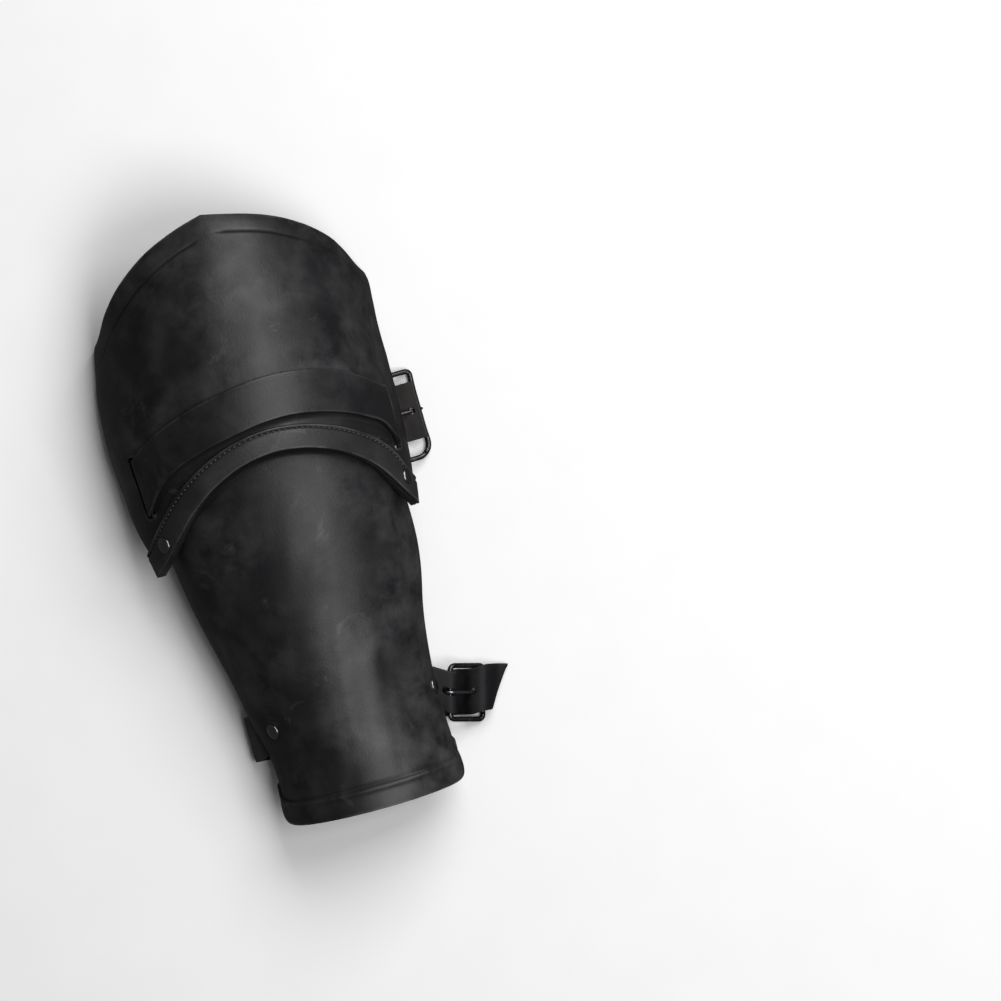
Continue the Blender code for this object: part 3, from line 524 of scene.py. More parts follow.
def elbow_strap_route():
    """From the tail of its fold round the buckle, up inside, over the plate, and back along the floor."""
    down = ELBOW_STRAP_DOWN + ELBOW_STRAP_SAG
    lift = GAP + ELBOW_STRAP_SHEET / 2
    inside = -ELBOW_SHEET - lift
    floor = ELBOW_STRAP_SHEET / 2
    half = ELBOW_STRAP_WIDTH / 2
    waist = ELBOW_STRAP_WAIST / 2
    pitch = ELBOW_STRAP_SHEET + GAP
    lanes = ELBOW_STRAP_LANES
    buckle = elbow_buckle()
    hinge = buckle.hinge
    fold = loop_round(buckle, (0, 1), BAR_RADIUS + lift)[::-1]
    main_x = fold[-1][0]
    slot_half = math.degrees(SLOT_WIDTH / (ELBOW_WIDTH / 2)) / 2
    left_leaves, left_enters = LEFT_SLOT_TURN - slot_half * 0.45, LEFT_SLOT_TURN + slot_half * 0.75
    right_leaves, right_enters = RIGHT_SLOT_TURN - slot_half * 0.45, RIGHT_SLOT_TURN + slot_half * 0.75

    def level(x, z):
        return rung((x, -down, z), half, lanes)

    over = []
    for turn in np.linspace(right_leaves, -left_leaves, 33):
        across = turn / (right_leaves if turn > 0 else left_leaves)
        half_here = waist + (half - waist) * read(STRAP_COURSE, COURSE_COLUMNS, "widening", across)
        down_here = ELBOW_STRAP_DOWN + ELBOW_STRAP_SAG * read(STRAP_COURSE, COURSE_COLUMNS, "sag", across)
        over.append(skin_rung(ELBOW, turn, down_here, lift, half_here, lanes))
    left_in = ELBOW.point(-left_enters, down, inside)
    bend = left_in[2] * 0.4
    rise = rise_through(buckle, ELBOW_STRAP_SHEET, ELBOW_PRONG_SHARE)[0]
    return [
        level(main_x - pitch, hinge[2] + FOLD_TAIL),
        level(main_x - pitch, hinge[2] + FOLD_TAIL / 2),
        level(fold[0][0], hinge[2] + 2.5 * MM),
        *[level(x, z) for x, _, z in fold],
        level(main_x, hinge[2] + 3 * MM),
        skin_rung(ELBOW, right_enters, down, inside, half, lanes),
        *over,
        skin_rung(ELBOW, -left_enters, down, inside, half, lanes),
        level(left_in[0], floor + bend),
        level(left_in[0] + bend * 0.3, floor + bend * 0.22),
        level(left_in[0] + bend, floor),
        level(left_in[0] / 2, floor),
        level(0.0, floor),
        level(hinge[0] / 2, floor),
        *[rung(place, half, lanes) for place in rise],
    ]


def wrist_strap_route():
    """From its rivet inside the left edge, out under the edge, along the floor and up through the buckle."""
    down = WRIST_END - WRIST_STRAP_UP
    lift = GAP + WRIST_STRAP_SHEET / 2
    floor = WRIST_STRAP_SHEET / 2
    half = WRIST_STRAP_WIDTH / 2
    inside = -FOREARM_SHEET - lift
    edge = FOREARM.skin(-FOREARM_SIDE_TURN, down)
    buckle = wrist_buckle()
    rise, above = rise_through(buckle, WRIST_STRAP_SHEET, WRIST_PRONG_SHARE)
    bulge = WRIST_STRAP_SHEET * 1.7

    def within(turn, drop, out):
        """Under the plate, and then below its edge by a drop and out towards it."""
        return skin_rung(FOREARM, turn, down, inside, half, STRAP_LANES) - np.array([out, 0.0, drop])

    def place(x, z, drift):
        return rung((x, -down - WRIST_STRAP_LEAN * drift, z), half, STRAP_LANES)

    def turned(point, slide):
        """Along the buckle's bars, and slid towards the elbow by a share of TIP_SLIDE."""
        return rung(point + buckle.side * TIP_SLIDE * slide, half, STRAP_LANES, buckle.side)

    return [
        *[within(-LEFT_WRIST_RIVET_TURN + k, 0.0, 0.0) for k in (10, 0, -9, -18)],
        within(-FOREARM_SIDE_TURN, lift * 0.4, 0.0),
        within(-FOREARM_SIDE_TURN, lift * 1.9, FOREARM_SHEET * 0.4),
        place(edge[0] - bulge * 0.5, edge[2] * 0.62, 0.1),
        place(edge[0] - bulge, edge[2] * 0.38, 0.12),
        place(edge[0] - bulge * 0.4, edge[2] * 0.12, 0.15),
        place(edge[0] + 7 * MM, floor, 0.2),
        place(0.0, floor, 0.35),
        place(edge[0] * -0.6, floor, 0.45),
        *[turned(point, slide) for point, slide in zip(rise, (0.0, 0.1, 0.2, 0.8))],
        turned(above + (buckle.along * 0.35 - UP * 0.22) * STRAP_TIP, 1.0),
        turned(flat(above + buckle.along * STRAP_TIP, floor + 0.4 * MM), 1.0),
    ]


def chape_route():
    """The tab that holds the wrist buckle: riveted inside the right edge, and folded round the hinge bar."""
    down = WRIST_END - WRIST_STRAP_UP
    lift = GAP + CHAPE_SHEET / 2
    pitch = CHAPE_SHEET + GAP
    half = CHAPE_WIDTH / 2
    buckle = wrist_buckle()
    fold = loop_round(buckle, (-1, 0.15), BAR_RADIUS + lift)

    def layer(turn, depth, drop, out):
        lifted = -FOREARM_SHEET - lift - depth
        return skin_rung(FOREARM, turn, down, lifted, half, STRAP_LANES) + np.array([out, 0.0, -drop])

    return [
        *[layer(RIGHT_WRIST_RIVET_TURN + k, 0.0, 0.0, 0.0) for k in (-9, 0, 4)],
        layer(FOREARM_SIDE_TURN, 0.0, lift * 0.5, 0.0),
        layer(FOREARM_SIDE_TURN, 0.0, lift * 1.7, FOREARM_SHEET * 0.5),
        *[rung(point, half, STRAP_LANES, buckle.side) for point in fold],
        layer(FOREARM_SIDE_TURN, pitch, lift * 3.1, FOREARM_SHEET * 0.5),
        layer(FOREARM_SIDE_TURN, pitch, lift * 0.8, 0.0),
        *[layer(RIGHT_WRIST_RIVET_TURN + k, pitch, 0.0, 0.0) for k in (4, 0, -9)],
    ]


# Meshes

def grid_quads(rows, columns):
    """Four corners for each cell of a grid whose points are counted row by row."""
    index = np.arange(rows * columns).reshape(rows, columns)
    return np.stack([index[:-1, :-1], index[1:, :-1], index[1:, 1:], index[:-1, 1:]], axis=-1).reshape(-1, 4)


def open_holes(a, b, quads, hole):
    """Takes the cells inside a hole away and moves the rim onto its outline.

    hole(a, b) is the distance to the outline, negative inside. A rim point goes along the distance's slope by
    minus the distance over the slope's square.
    """
    gone = hole(a[quads].mean(axis=1), b[quads].mean(axis=1)) <= 0
    rim = np.intersect1d(quads[~gone], quads[gone])
    step = 0.01 * MM
    for _ in range(3):
        p, q = a[rim], b[rim]
        distance = hole(p, q)
        slope_a = (hole(p + step, q) - hole(p - step, q)) / (2 * step)
        slope_b = (hole(p, q + step) - hole(p, q - step)) / (2 * step)
        square = slope_a**2 + slope_b**2 + 1e-9
        a[rim], b[rim] = p - distance * slope_a / square, q - distance * slope_b / square
    return quads[~gone]


def round_box(a, b, half_a, half_b, corner):
    """Distance to a rectangle with round corners, negative inside."""
    p = np.abs(a) - half_a + corner
    q = np.abs(b) - half_b + corner
    return np.hypot(np.maximum(p, 0), np.maximum(q, 0)) + np.minimum(np.maximum(p, q), 0) - corner


def thick_sheet(name, outer, inner, quads, uv, attributes):
    """A closed sheet between an outer and an inner face, joined by a strip of faces along every rim.

    The rim's edges are those that run one way in a face and in no face the other way.
    """
    used, number = np.unique(quads, return_inverse=True)
    quads = number.reshape(quads.shape)
    count = len(used)
    starts, ends = quads.ravel(), np.roll(quads, -1, axis=1).ravel()
    single = ~np.isin(starts * count + ends, ends * count + starts)
    s, e = starts[single], ends[single]
    rim = np.stack([e, s, s + count, e + count], axis=1)
    faces = np.concatenate([quads, quads[:, ::-1] + count, rim])
    side = np.concatenate([np.zeros(len(quads), int), np.ones(len(quads), int), np.full(len(rim), 2)])
    points = np.concatenate([outer[used], inner[used]]) + SHIFT
    doubled = {key: np.tile(value[used], 2) for key, value in attributes.items()}
    return mesh_object(name, points, faces, np.tile(uv[used], (2, 1)), doubled, side)


def mesh_object(name, points, faces, uv=None, attributes=None, material_index=None):
    """A smooth mesh from whole arrays of points, four-cornered faces, UVs and values on its points."""
    mesh = bpy.data.meshes.new(name)
    faces = np.asarray(faces)
    mesh.vertices.add(len(points))
    mesh.vertices.foreach_set("co", np.asarray(points, np.float32).ravel())
    mesh.loops.add(faces.size)
    mesh.loops.foreach_set("vertex_index", faces.ravel().astype(np.int32))
    mesh.polygons.add(len(faces))
    mesh.polygons.foreach_set("loop_start", np.arange(0, faces.size, faces.shape[1], dtype=np.int32))
    mesh.update(calc_edges=True)
    mesh.shade_smooth()
    if material_index is not None:
        mesh.polygons.foreach_set("material_index", np.asarray(material_index, np.int32))
    if uv is not None:
        layer = mesh.uv_layers.new(name="Surface")
        layer.uv.foreach_set("vector", uv[faces.ravel()].astype(np.float32).ravel())
    for key, values in (attributes or {}).items():
        attribute = mesh.attributes.new(key, "FLOAT", "POINT")
        attribute.data.foreach_set("value", np.asarray(values, np.float32))
    obj = bpy.data.objects.new(name, mesh)
    bpy.context.scene.collection.objects.link(obj)
    return obj


def soften(obj, width, segments=3):
    """Rounds the sharp edges along a sheet's rims."""
    modifier = obj.modifiers.new("Round", "BEVEL")
    modifier.width = width
    modifier.segments = segments
    modifier.limit_method = "ANGLE"
    modifier.angle_limit = math.radians(50)
    modifier.use_clamp_overlap = True


def dress(obj, finishes, slot, *nodes):
    """Gives a piece its finishes, puts it on the bracer's body, and hides the solids that it stands for."""
    for material in finishes:
        obj.data.materials.append(material)
    if nodes:
        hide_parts(*nodes)
    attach(obj, "root")
    return obj


def tube(name, points, side, radii, closed):
    """A round bar along a flat path.

    Round each point it is the radius times the cosine along side, plus the radius times the sine along the
    cross product of the path's direction and side. Open ends close in a point.
    """
    points = np.array(points, float)
    radii = np.broadcast_to(radii, len(points)).astype(float)
    if closed:
        way = np.roll(points, -1, axis=0) - np.roll(points, 1, axis=0)
    else:
        way = np.gradient(points, axis=0)
    way /= np.linalg.norm(way, axis=1, keepdims=True)
    side = np.array(side, float)
    other = np.cross(way, side)
    angle = np.linspace(0, 2 * math.pi, 16, endpoint=False)
    ring = side * np.cos(angle)[None, :, None] + other[:, None] * np.sin(angle)[None, :, None]
    grid = points[:, None] + ring * radii[:, None, None]
    grid = np.concatenate([grid, grid[:, :1]], axis=1)
    if closed:
        grid = np.concatenate([grid, grid[:1]], axis=0)
    rows, columns = grid.shape[:2]
    run = np.concatenate([[0], np.cumsum(np.linalg.norm(np.diff(grid[:, 0], axis=0), axis=1))])
    uv = np.stack(np.meshgrid(run, np.linspace(0, 2 * math.pi * radii.mean(), columns), indexing="ij"), -1)
    obj = mesh_object(name, grid.reshape(-1, 3) + SHIFT, grid_quads(rows, columns), uv.reshape(-1, 2))
    close_seams(obj)
    return obj


def close_seams(obj):
    """Joins the points along a seam or at a pole, and points the faces outwards."""
    bm = bmesh.new()
    bm.from_mesh(obj.data)
    bmesh.ops.remove_doubles(bm, verts=bm.verts, dist=0.005 * MM)
    bmesh.ops.dissolve_degenerate(bm, edges=bm.edges, dist=0.001 * MM)
    bmesh.ops.recalc_face_normals(bm, faces=bm.faces)
    bm.to_mesh(obj.data)
    bm.free()


def lathe(name, profile, point, normal, steps=48):
    """A profile of radius and height, turned round the normal at a point."""
    profile = np.array(profile)
    normal = np.array(normal, float)
    along = np.cross(normal, [0.0, 1.0, 0.0])
    along /= np.linalg.norm(along)
    other = np.cross(normal, along)
    angle = np.linspace(0, 2 * math.pi, steps + 1)
    ring = np.cos(angle)[:, None] * along + np.sin(angle)[:, None] * other
    grid = point + profile[:, :1, None] * ring[None] + profile[:, 1:, None] * normal
    rows, columns = grid.shape[:2]
    uv = np.stack(np.meshgrid(np.arange(rows), np.arange(columns), indexing="ij"), -1) / columns
    obj = mesh_object(name, grid.reshape(-1, 3) + SHIFT, grid_quads(rows, columns), uv.reshape(-1, 2))
    close_seams(obj)
    return obj


# Finishes

class Graph:
    """A material's nodes, added from left to right and joined as they are added."""

    def __init__(self, name):
        self.material = bpy.data.materials.new(name)
        self.material.use_nodes = True
        self.tree = self.material.node_tree
        self.shader = self.tree.nodes["Principled BSDF"]

    def add(self, kind, settings=None, **inputs):
        node = self.tree.nodes.new(kind)
        for key, value in (settings or {}).items():
            setattr(node, key, value)
        for key, value in inputs.items():
            self.join(node, key, value)
        return node

    def join(self, node, key, value):
        """Links or sets an input: _6 is input number 6, and Base_Color is the one named Base Color."""
        socket = node.inputs[int(key[1:]) if key[1:].isdigit() else key.replace("_", " ")]
        if isinstance(value, bpy.types.NodeSocket):
            self.tree.links.new(value, socket)
        else:
            socket.default_value = value

    def place(self):
        return self.add("ShaderNodeTexCoord").outputs["Object"]

    def value(self, name):
        return self.add("ShaderNodeAttribute", {"attribute_name": name}).outputs["Fac"]

    def math(self, operation, a, b=0.0):
        return self.add("ShaderNodeMath", {"operation": operation}, _0=a, _1=b).outputs[0]

    def noise(self, place, scale, detail=4.0, roughness=0.55, distortion=0.0):
        node = self.add(
            "ShaderNodeTexNoise", Vector=place, Scale=scale, Detail=detail, Roughness=roughness,
            Distortion=distortion,
        )
        return node.outputs[0]

    def band(self, value, low, high, start=0.0, end=1.0):
        """From start to end as the value goes from low to high, and no further."""
        node = self.add(
            "ShaderNodeMapRange", Value=value, From_Min=low, From_Max=high, To_Min=start, To_Max=end
        )
        return node.outputs[0]

    def mix(self, share, a, b):
        node = self.add("ShaderNodeMix", {"data_type": "RGBA"}, _0=share, _6=a, _7=b)
        return node.outputs[2]

    def rough(self, height, strength, distance, normal=None):
        node = self.add("ShaderNodeBump", Strength=strength, Distance=distance, Height=height)
        if normal is not None:
            self.join(node, "Normal", normal)
        return node.outputs[0]

    def shade(self, **inputs):
        for key, value in inputs.items():
            self.join(self.shader, key, value)
        return self.material


def rgba(colour):
    return (*colour, 1.0)


def worn_leather(name, colour, scuff, wear, grain, gloss, polish=1.0):
    """Dyed leather: blotches and scuffs in its colour, pores and fine wrinkles in its relief.

    The tops of its rims are rubbed a little lighter. Tooled lines are darker, and so is painted shade under
    edges.
    grain is how strong the relief is, gloss is the middle of its roughness, and polish scales how much it
    reflects.
    """
    g = Graph(name)
    place = g.place()
    broad = g.noise(place, 20, 3, 0.5)
    blotch = g.noise(place, 62, 5, 0.58, 0.25)
    fine = g.noise(place, 420, 4, 0.6)
    patch = g.math("MULTIPLY", g.band(broad, 0.38, 0.66), g.band(blotch, 0.36, 0.66))
    scuffs = g.band(g.noise(place, 48, 7, 0.66, 0.9), 0.58, 0.72)
    rubbed = g.band(g.value("rim"), 0.2, 1.6, 1.0, 0.0)
    rubbed = g.math("MULTIPLY", rubbed, g.band(blotch, 0.36, 0.60))
    light = g.math("MAXIMUM", g.math("MULTIPLY", patch, 0.60), g.math("MULTIPLY", scuffs, 0.55))
    light = g.math("MAXIMUM", light, rubbed)
    light = g.math("MULTIPLY", light, wear)
    # Darker and rougher in the pressed lines, plus painted shade under the strap's and the arch's edges
    grooves_and_painted_shade = g.math("MAXIMUM", g.value("groove"), g.value("painted_shade"))
    base = g.mix(light, rgba(colour), rgba(scuff))
    base = g.mix(g.math("MULTIPLY", grooves_and_painted_shade, 0.8), base, rgba([c * 0.1 for c in colour]))
    rough = g.band(blotch, 0.3, 0.7, gloss - 0.05, gloss + 0.06)
    rough = g.math("SUBTRACT", rough, g.math("MULTIPLY", light, 0.20))
    rough = g.math("MAXIMUM", rough, g.band(grooves_and_painted_shade, 0, 1, 0.0, 0.95))
    pores = g.add("ShaderNodeTexVoronoi", {"feature": "F1"}, Vector=place, Scale=950.0, Randomness=1.0)
    creases = g.add(
        "ShaderNodeTexVoronoi", {"feature": "DISTANCE_TO_EDGE"}, Vector=place, Scale=520.0, Randomness=1.0
    )
    pebble = g.band(creases.outputs["Distance"], 0.0, 0.12, 0.0, 0.6)
    pebble = g.math("ADD", pores.outputs["Distance"], pebble)
    relief = g.rough(pebble, grain, 0.10 * MM)
    relief = g.rough(fine, grain * 0.8, 0.22 * MM, relief)
    relief = g.rough(blotch, 0.3, 0.5 * MM, relief)
    return g.shade(Base_Color=base, Roughness=rough, Normal=relief, Specular_IOR_Level=0.32 * polish)


def flesh_side(name, colour):
    """The matt, fibrous inner face of the hide."""
    g = Graph(name)
    place = g.place()
    nap = g.noise(place, 900, 6, 0.75, 0.6)
    cloud = g.noise(place, 60, 5, 0.6)
    base = g.mix(g.band(cloud, 0.3, 0.7), rgba([c * 0.7 for c in colour]), rgba([c * 1.3 for c in colour]))
    return g.shade(Base_Color=base, Roughness=0.92, Normal=g.rough(nap, 0.8, 0.25 * MM))


def burnished_edge(name, colour):
    """A cut edge, waxed and rubbed smooth, with the layers of the hide just showing."""
    g = Graph(name)
    place = g.place()
    layers = g.noise(place, 700, 3, 0.5, 0.3)
    base = g.mix(g.band(layers, 0.35, 0.7), rgba(colour), rgba([c * 2.2 for c in colour]))
    return g.shade(Base_Color=base, Roughness=0.42, Normal=g.rough(layers, 0.35, 0.1 * MM))


def waxed_thread(name, colour):
    """Thread with a fine twist along it."""
    g = Graph(name)
    place = g.place()
    twist = g.noise(place, 1600, 3, 0.6)
    base = g.mix(g.band(twist, 0.35, 0.65), rgba([c * 0.6 for c in colour]), rgba([c * 1.5 for c in colour]))
    return g.shade(Base_Color=base, Roughness=0.55, Normal=g.rough(twist, 0.6, 0.1 * MM))


def black_enamel(name, colour, bare):
    """Blackened steel, worn bright in small chips."""
    g = Graph(name)
    place = g.place()
    chips = g.band(g.noise(place, 260, 7, 0.7, 0.8), 0.60, 0.66)
    cloud = g.noise(place, 120, 4, 0.6)
    base = g.mix(g.math("MULTIPLY", chips, 0.7), rgba(colour), rgba(bare))
    rough = g.band(cloud, 0.3, 0.7, 0.28, 0.42)
    return g.shade(Base_Color=base, Roughness=rough, Metallic=1.0, Normal=g.rough(cloud, 0.15, 0.1 * MM))


def bright_nickel(name, colour):
    """Nickel plate with rubbed spots and fine scratches."""
    g = Graph(name)
    place = g.place()
    smudge = g.noise(place, 240, 5, 0.6, 0.5)
    scratch = g.noise(place, 1900, 3, 0.7)
    base = g.mix(g.band(smudge, 0.45, 0.75), rgba(colour), rgba([c * 0.62 for c in colour]))
    rough = g.band(smudge, 0.3, 0.7, 0.16, 0.34)
    return g.shade(Base_Color=base, Roughness=rough, Metallic=1.0, Normal=g.rough(scratch, 0.08, 0.05 * MM))


def finish(name):
    """One finish by name, made the first time that it is asked for."""
    made = bpy.data.materials.get(name)
    if made:
        return made
    look = bpy.context.scene.bracer_leather
    metal = bpy.context.scene.bracer_metal
    makers = {
        "plate_leather": lambda n: worn_leather(n, look.plate, look.scuff, look.wear, 0.22, 0.48),
        "trim_leather_worn": lambda n: worn_leather(n, look.trim, look.scuff, look.wear, 0.3, 0.47),
        "strap_leather_worn": lambda n: worn_leather(n, look.strap, look.scuff, look.wear * 0.5, 0.16, 0.42),
        "wrist_strap_worn": lambda n: worn_leather(n, look.strap, look.scuff, look.wear * 0.3, 0.2, 0.5, 0.3),
        "leather_inside": lambda n: flesh_side(n, look.inside),
        "leather_edge": lambda n: burnished_edge(n, look.strap),
        "thread": lambda n: waxed_thread(n, look.thread),
        "buckle_black": lambda n: black_enamel(n, metal.frame, metal.bare),
        "nickel": lambda n: bright_nickel(n, metal.bright),
    }
    return makers[name](name)


def leather(face):
    """A sheet's three finishes: its outer face, its inside and its cut edge."""
    return [finish(face), finish("leather_inside"), finish("leather_edge")]


# The pieces

def unevenness(a, b, seed):
    """The hand-shaped sheet's slow rise and fall: four waves across each other, each with its own phase."""
    rng = np.random.default_rng(seed)
    total = np.zeros_like(a)
    for length, height in ((90, 0.30), (52, 0.20), (31, 0.12), (19, 0.06)):
        direction, phase = rng.uniform(0, math.pi), rng.uniform(0, 2 * math.pi)
        wave = (a * math.cos(direction) + b * math.sin(direction)) / (length * MM) * 2 * math.pi + phase
        total = total + height * MM * np.sin(wave + 0.8 * np.sin(wave * 0.61 + phase))
    return total


def slot_distance(turn_arc, down):
    """Distance to the nearer of the elbow plate's two slots, in metres along the sheet."""
    middle = np.radians(np.where(turn_arc < 0, -LEFT_SLOT_TURN, RIGHT_SLOT_TURN)) * ELBOW_WIDTH / 2
    half_long = ELBOW_STRAP_WIDTH / 2 + SLOT_PLAY
    below = down - ELBOW_STRAP_DOWN - ELBOW_STRAP_SAG
    return round_box(turn_arc - middle, below, SLOT_WIDTH / 2, half_long, SLOT_CORNER)


def below_strap(turn, down):
    """How far a place on the elbow plate lies below the strap's lower edge; far away beyond the slots."""
    across = turn / np.where(turn < 0, LEFT_SLOT_TURN, RIGHT_SLOT_TURN)
    sag, widening = (read(STRAP_COURSE, COURSE_COLUMNS, column, across) for column in ("sag", "widening"))
    width = ELBOW_STRAP_WAIST + (ELBOW_STRAP_WIDTH - ELBOW_STRAP_WAIST) * widening
    below = down - ELBOW_STRAP_DOWN - ELBOW_STRAP_SAG * sag - width / 2
    return np.where((np.abs(across) < 1) & (below > -width), np.maximum(below, 0), 1.0)


def build_elbow_plate():
    """The dished plate. A point's place is its share of the way round and its offset from the peaked edge."""
    half = spaced(0, 1, 0.0105)
    across = np.concatenate([half[::-1], -half[1:]])
    offset = spaced(0, ARCH_TOP, 1.4 * MM, LINE_IN, 2.2 * MM, 0.3 * MM)
    across, offset = np.meshgrid(across, offset)
    down = between(peak_edge, arch_edge, across, offset, ARCH_TOP, ELBOW_ARC)
    arc = np.radians(across * elbow_side_turn(across, down)) * ELBOW_WIDTH / 2
    quads = grid_quads(*arc.shape)
    arc, down = arc.ravel(), down.ravel()
    across, offset = across.ravel(), offset.ravel()
    quads = open_holes(arc, down, quads, slot_distance)
    turn = np.degrees(arc / (ELBOW_WIDTH / 2))

    to_side = (elbow_side_turn(across, down) - np.abs(turn)) * math.radians(1) * ELBOW_RISE
    to_arch = (arch_edge(across) - down) / stretch(arch_edge, across, ELBOW_ARC)
    line_in = np.where(across < 0, *LINE_IN)
    fades = ease((np.abs(across) - 0.03) / 0.08) * (1 - 0.65 * ease((np.abs(across) - 0.5) / 0.25))
    groove = bump(offset - line_in, LINE_HALF) * fades * ease(to_side / (4 * MM))
    rolled = EDGE_ROLL * bump(offset, EDGE_ROLL_REACH)
    relief = unevenness(arc, down, 5) - LINE_DEPTH * groove - rolled
    relief = relief * ease(to_arch / (16 * MM))
    rim = np.minimum.reduce([offset, to_side, to_arch, slot_distance(arc, down)]) / MM
    # Painted shade: the plate is darker just below the strap's lower edge, where the strap's shadow falls
    painted_shade = ease((PAINTED_SHADE_REACH - below_strap(turn, down)) / PAINTED_SHADE_FADE)

    outer = ELBOW.point(turn, down, relief)
    inner = ELBOW.point(turn, down, relief * 0.5 - ELBOW_SHEET)
    uv = np.stack([arc, down], axis=-1)
    values = {"groove": groove, "rim": rim, "painted_shade": painted_shade}
    obj = thick_sheet("elbow_plate_leather", outer, inner, quads, uv, values)
    soften(obj, 0.7 * MM)
    return dress(obj, leather("plate_leather"), "black_leather", "elbow_plate")


def build_forearm_plate():
    """The tapered plate. Its place is the share of the way round and the offset from its hidden top edge."""
    half = spaced(0, 1, 0.0125)
    across = np.concatenate([half[::-1], -half[1:]])
    total = FOREARM_LENGTH - WRIST_BULGE * 0.5
    offset = spaced(0, total, 1.7 * MM, [total - WRIST_LINE_IN], 3.5 * MM, 0.35 * MM)
    across, offset = np.meshgrid(across, offset)
    down = between(forearm_top_edge, wrist_edge, across, offset, total, FOREARM_ARC)
    quads = grid_quads(*down.shape)
    across, offset, down = across.ravel(), offset.ravel(), down.ravel()
    turn = across * FOREARM_SIDE_TURN
    arc = np.radians(turn) * FOREARM_WIDTH / 2

    to_wrist = total - offset
    to_side = (1 - np.abs(across)) * math.radians(FOREARM_SIDE_TURN) * FOREARM_RISE
    line = bump(to_wrist - WRIST_LINE_IN - BEAD_HALF * 0.9, LINE_HALF * 1.3)
    bead = bump(to_wrist - WRIST_LINE_IN + BEAD_HALF * 0.6, BEAD_HALF)
    groove = line * (0.9 - 0.5 * ease((across + 0.2) / 0.8))
    dimple = 0.0
    for side in (-1, 1):
        away = np.linalg.norm(FOREARM.skin(turn, down) - wrist_rivet_place(side)[0], axis=-1)
        dimple = dimple + FOREARM_DIMPLE * bump(away, FOREARM_DIMPLE_REACH)
    relief = unevenness(arc, down, 11) * ease(to_wrist / (8 * MM)) * ease((down - ARCH_TOP) / (50 * MM))
    relief = relief - LINE_DEPTH * groove + BEAD_HEIGHT * bead - dimple
    relief = relief - EDGE_ROLL * bump(to_wrist, EDGE_ROLL_REACH)
    rim = np.minimum.reduce([offset, to_side, to_wrist]) / MM
    # Painted shade: the plate is darker under the arch and just below it, where the elbow plate casts its
    # shadow
    sideways = FOREARM.skin(turn, down)[:, 0] / (ELBOW_WIDTH / 2)
    over = np.degrees(np.arcsin(np.clip(sideways + EAR_ASIDE, -1, 1))) / ELBOW_SIDE_TURN
    painted_shade = ease((PAINTED_SHADE_REACH - np.maximum(down - arch_edge(over), 0)) / PAINTED_SHADE_FADE)

    outer = FOREARM.point(turn, down, relief)
    inner = FOREARM.point(turn, down, relief * 0.5 - FOREARM_SHEET)
    uv = np.stack([arc, down], axis=-1)
    values = {"groove": groove, "rim": rim, "painted_shade": painted_shade}
    obj = thick_sheet("forearm_plate_leather", outer, inner, quads, uv, values)
    soften(obj, 0.7 * MM)
    return dress(obj, leather("plate_leather"), "black_leather", "forearm_plate")


def trim_point(across, inset, lift):
    """A point over the elbow plate, at a distance in from the arched edge and a height over the sheet."""
    down = arch_edge(across) - inset * stretch(arch_edge, across, ELBOW_ARC)
    return ELBOW.point(across * elbow_side_turn(across, down), down, lift)


def build_arch_trim():
    """A crowned strip carried along the arch, with a channel for its stitches."""
    across = spaced(-1, 1, 0.011)[::-1]
    inset = spaced(0, TRIM_WIDTH, 0.8 * MM, [TRIM_WIDTH - TRIM_STITCH_IN], 1.2 * MM, 0.25 * MM)
    across, inset = np.meshgrid(across, inset)
    quads = grid_quads(*across.shape)[:, ::-1]
    across, inset = across.ravel(), inset.ravel()
    share = inset / TRIM_WIDTH
    crown = TRIM_CROWN * (1 - (2 * share - 1) ** 2)
    channel = bump(inset - TRIM_WIDTH + TRIM_STITCH_IN, TRIM_CHANNEL_HALF)
    top = GAP + TRIM_SHEET - TRIM_EDGE_DROP + crown - TRIM_CHANNEL_DEPTH * channel
    arc = across * ELBOW_ARC
    top = top + 0.4 * unevenness(arc, inset * 3, 3)
    for side in (-1, 1):
        away = np.linalg.norm(trim_point(across, inset, 0.0) - ear_rivet_place(side)[0], axis=-1)
        top = top - TRIM_DIMPLE * bump(away, TRIM_DIMPLE_REACH)
    rim = np.minimum(inset, TRIM_WIDTH - inset) / MM
    outer, inner = trim_point(across, inset, top), trim_point(across, inset, 0.05 * MM)
    uv = np.stack([arc, inset], axis=-1)
    obj = thick_sheet("arch_trim_leather", outer, inner, quads, uv, {"groove": channel, "rim": rim})
    soften(obj, 0.5 * MM)
    return dress(obj, leather("trim_leather_worn"), "trim_leather", "arch_trim")


def stitch_row(name, path, normals, pitch, length, radius):
    """Stitches along a path: each one is a short bar, round across and dipping into the leather at its ends.

    Along a stitch, t goes from -1 to 1. Its radius is the root of 1 minus t to the fourth, and its height is
    minus the dip times t squared.
    """
    run = np.concatenate([[0], np.cumsum(np.linalg.norm(np.diff(path, axis=0), axis=1))])
    count = int(run[-1] / pitch) - 1
    middle = (np.arange(count) + 1) * run[-1] / (count + 1)
    t = np.linspace(-1, 1, 9)
    where = middle[:, None] + t * length / 2
    centre = np.stack([np.interp(where, run, path[:, k]) for k in range(3)], axis=-1)
    up = np.stack([np.interp(where, run, normals[:, k]) for k in range(3)], axis=-1)
    way = np.gradient(centre, axis=1)
    way /= np.linalg.norm(way, axis=-1, keepdims=True)
    across = np.cross(way, up)
    centre = centre - up * (radius * 1.3 * t**2)[None, :, None]
    thick = radius * np.sqrt(np.clip(1 - t**4, 0, 1))
    angle = np.linspace(0, 2 * math.pi, 9)
    ring = up[:, :, None] * np.cos(angle)[:, None] + across[:, :, None] * np.sin(angle)[:, None]
    grid = centre[:, :, None] + ring * thick[None, :, None, None]
    rows, columns = grid.shape[1:3]
    quads = grid_quads(rows, columns)[None] + (np.arange(count) * rows * columns)[:, None, None]
    obj = mesh_object(name, grid.reshape(-1, 3) + SHIFT, quads.reshape(-1, 4))
    close_seams(obj)
    return obj


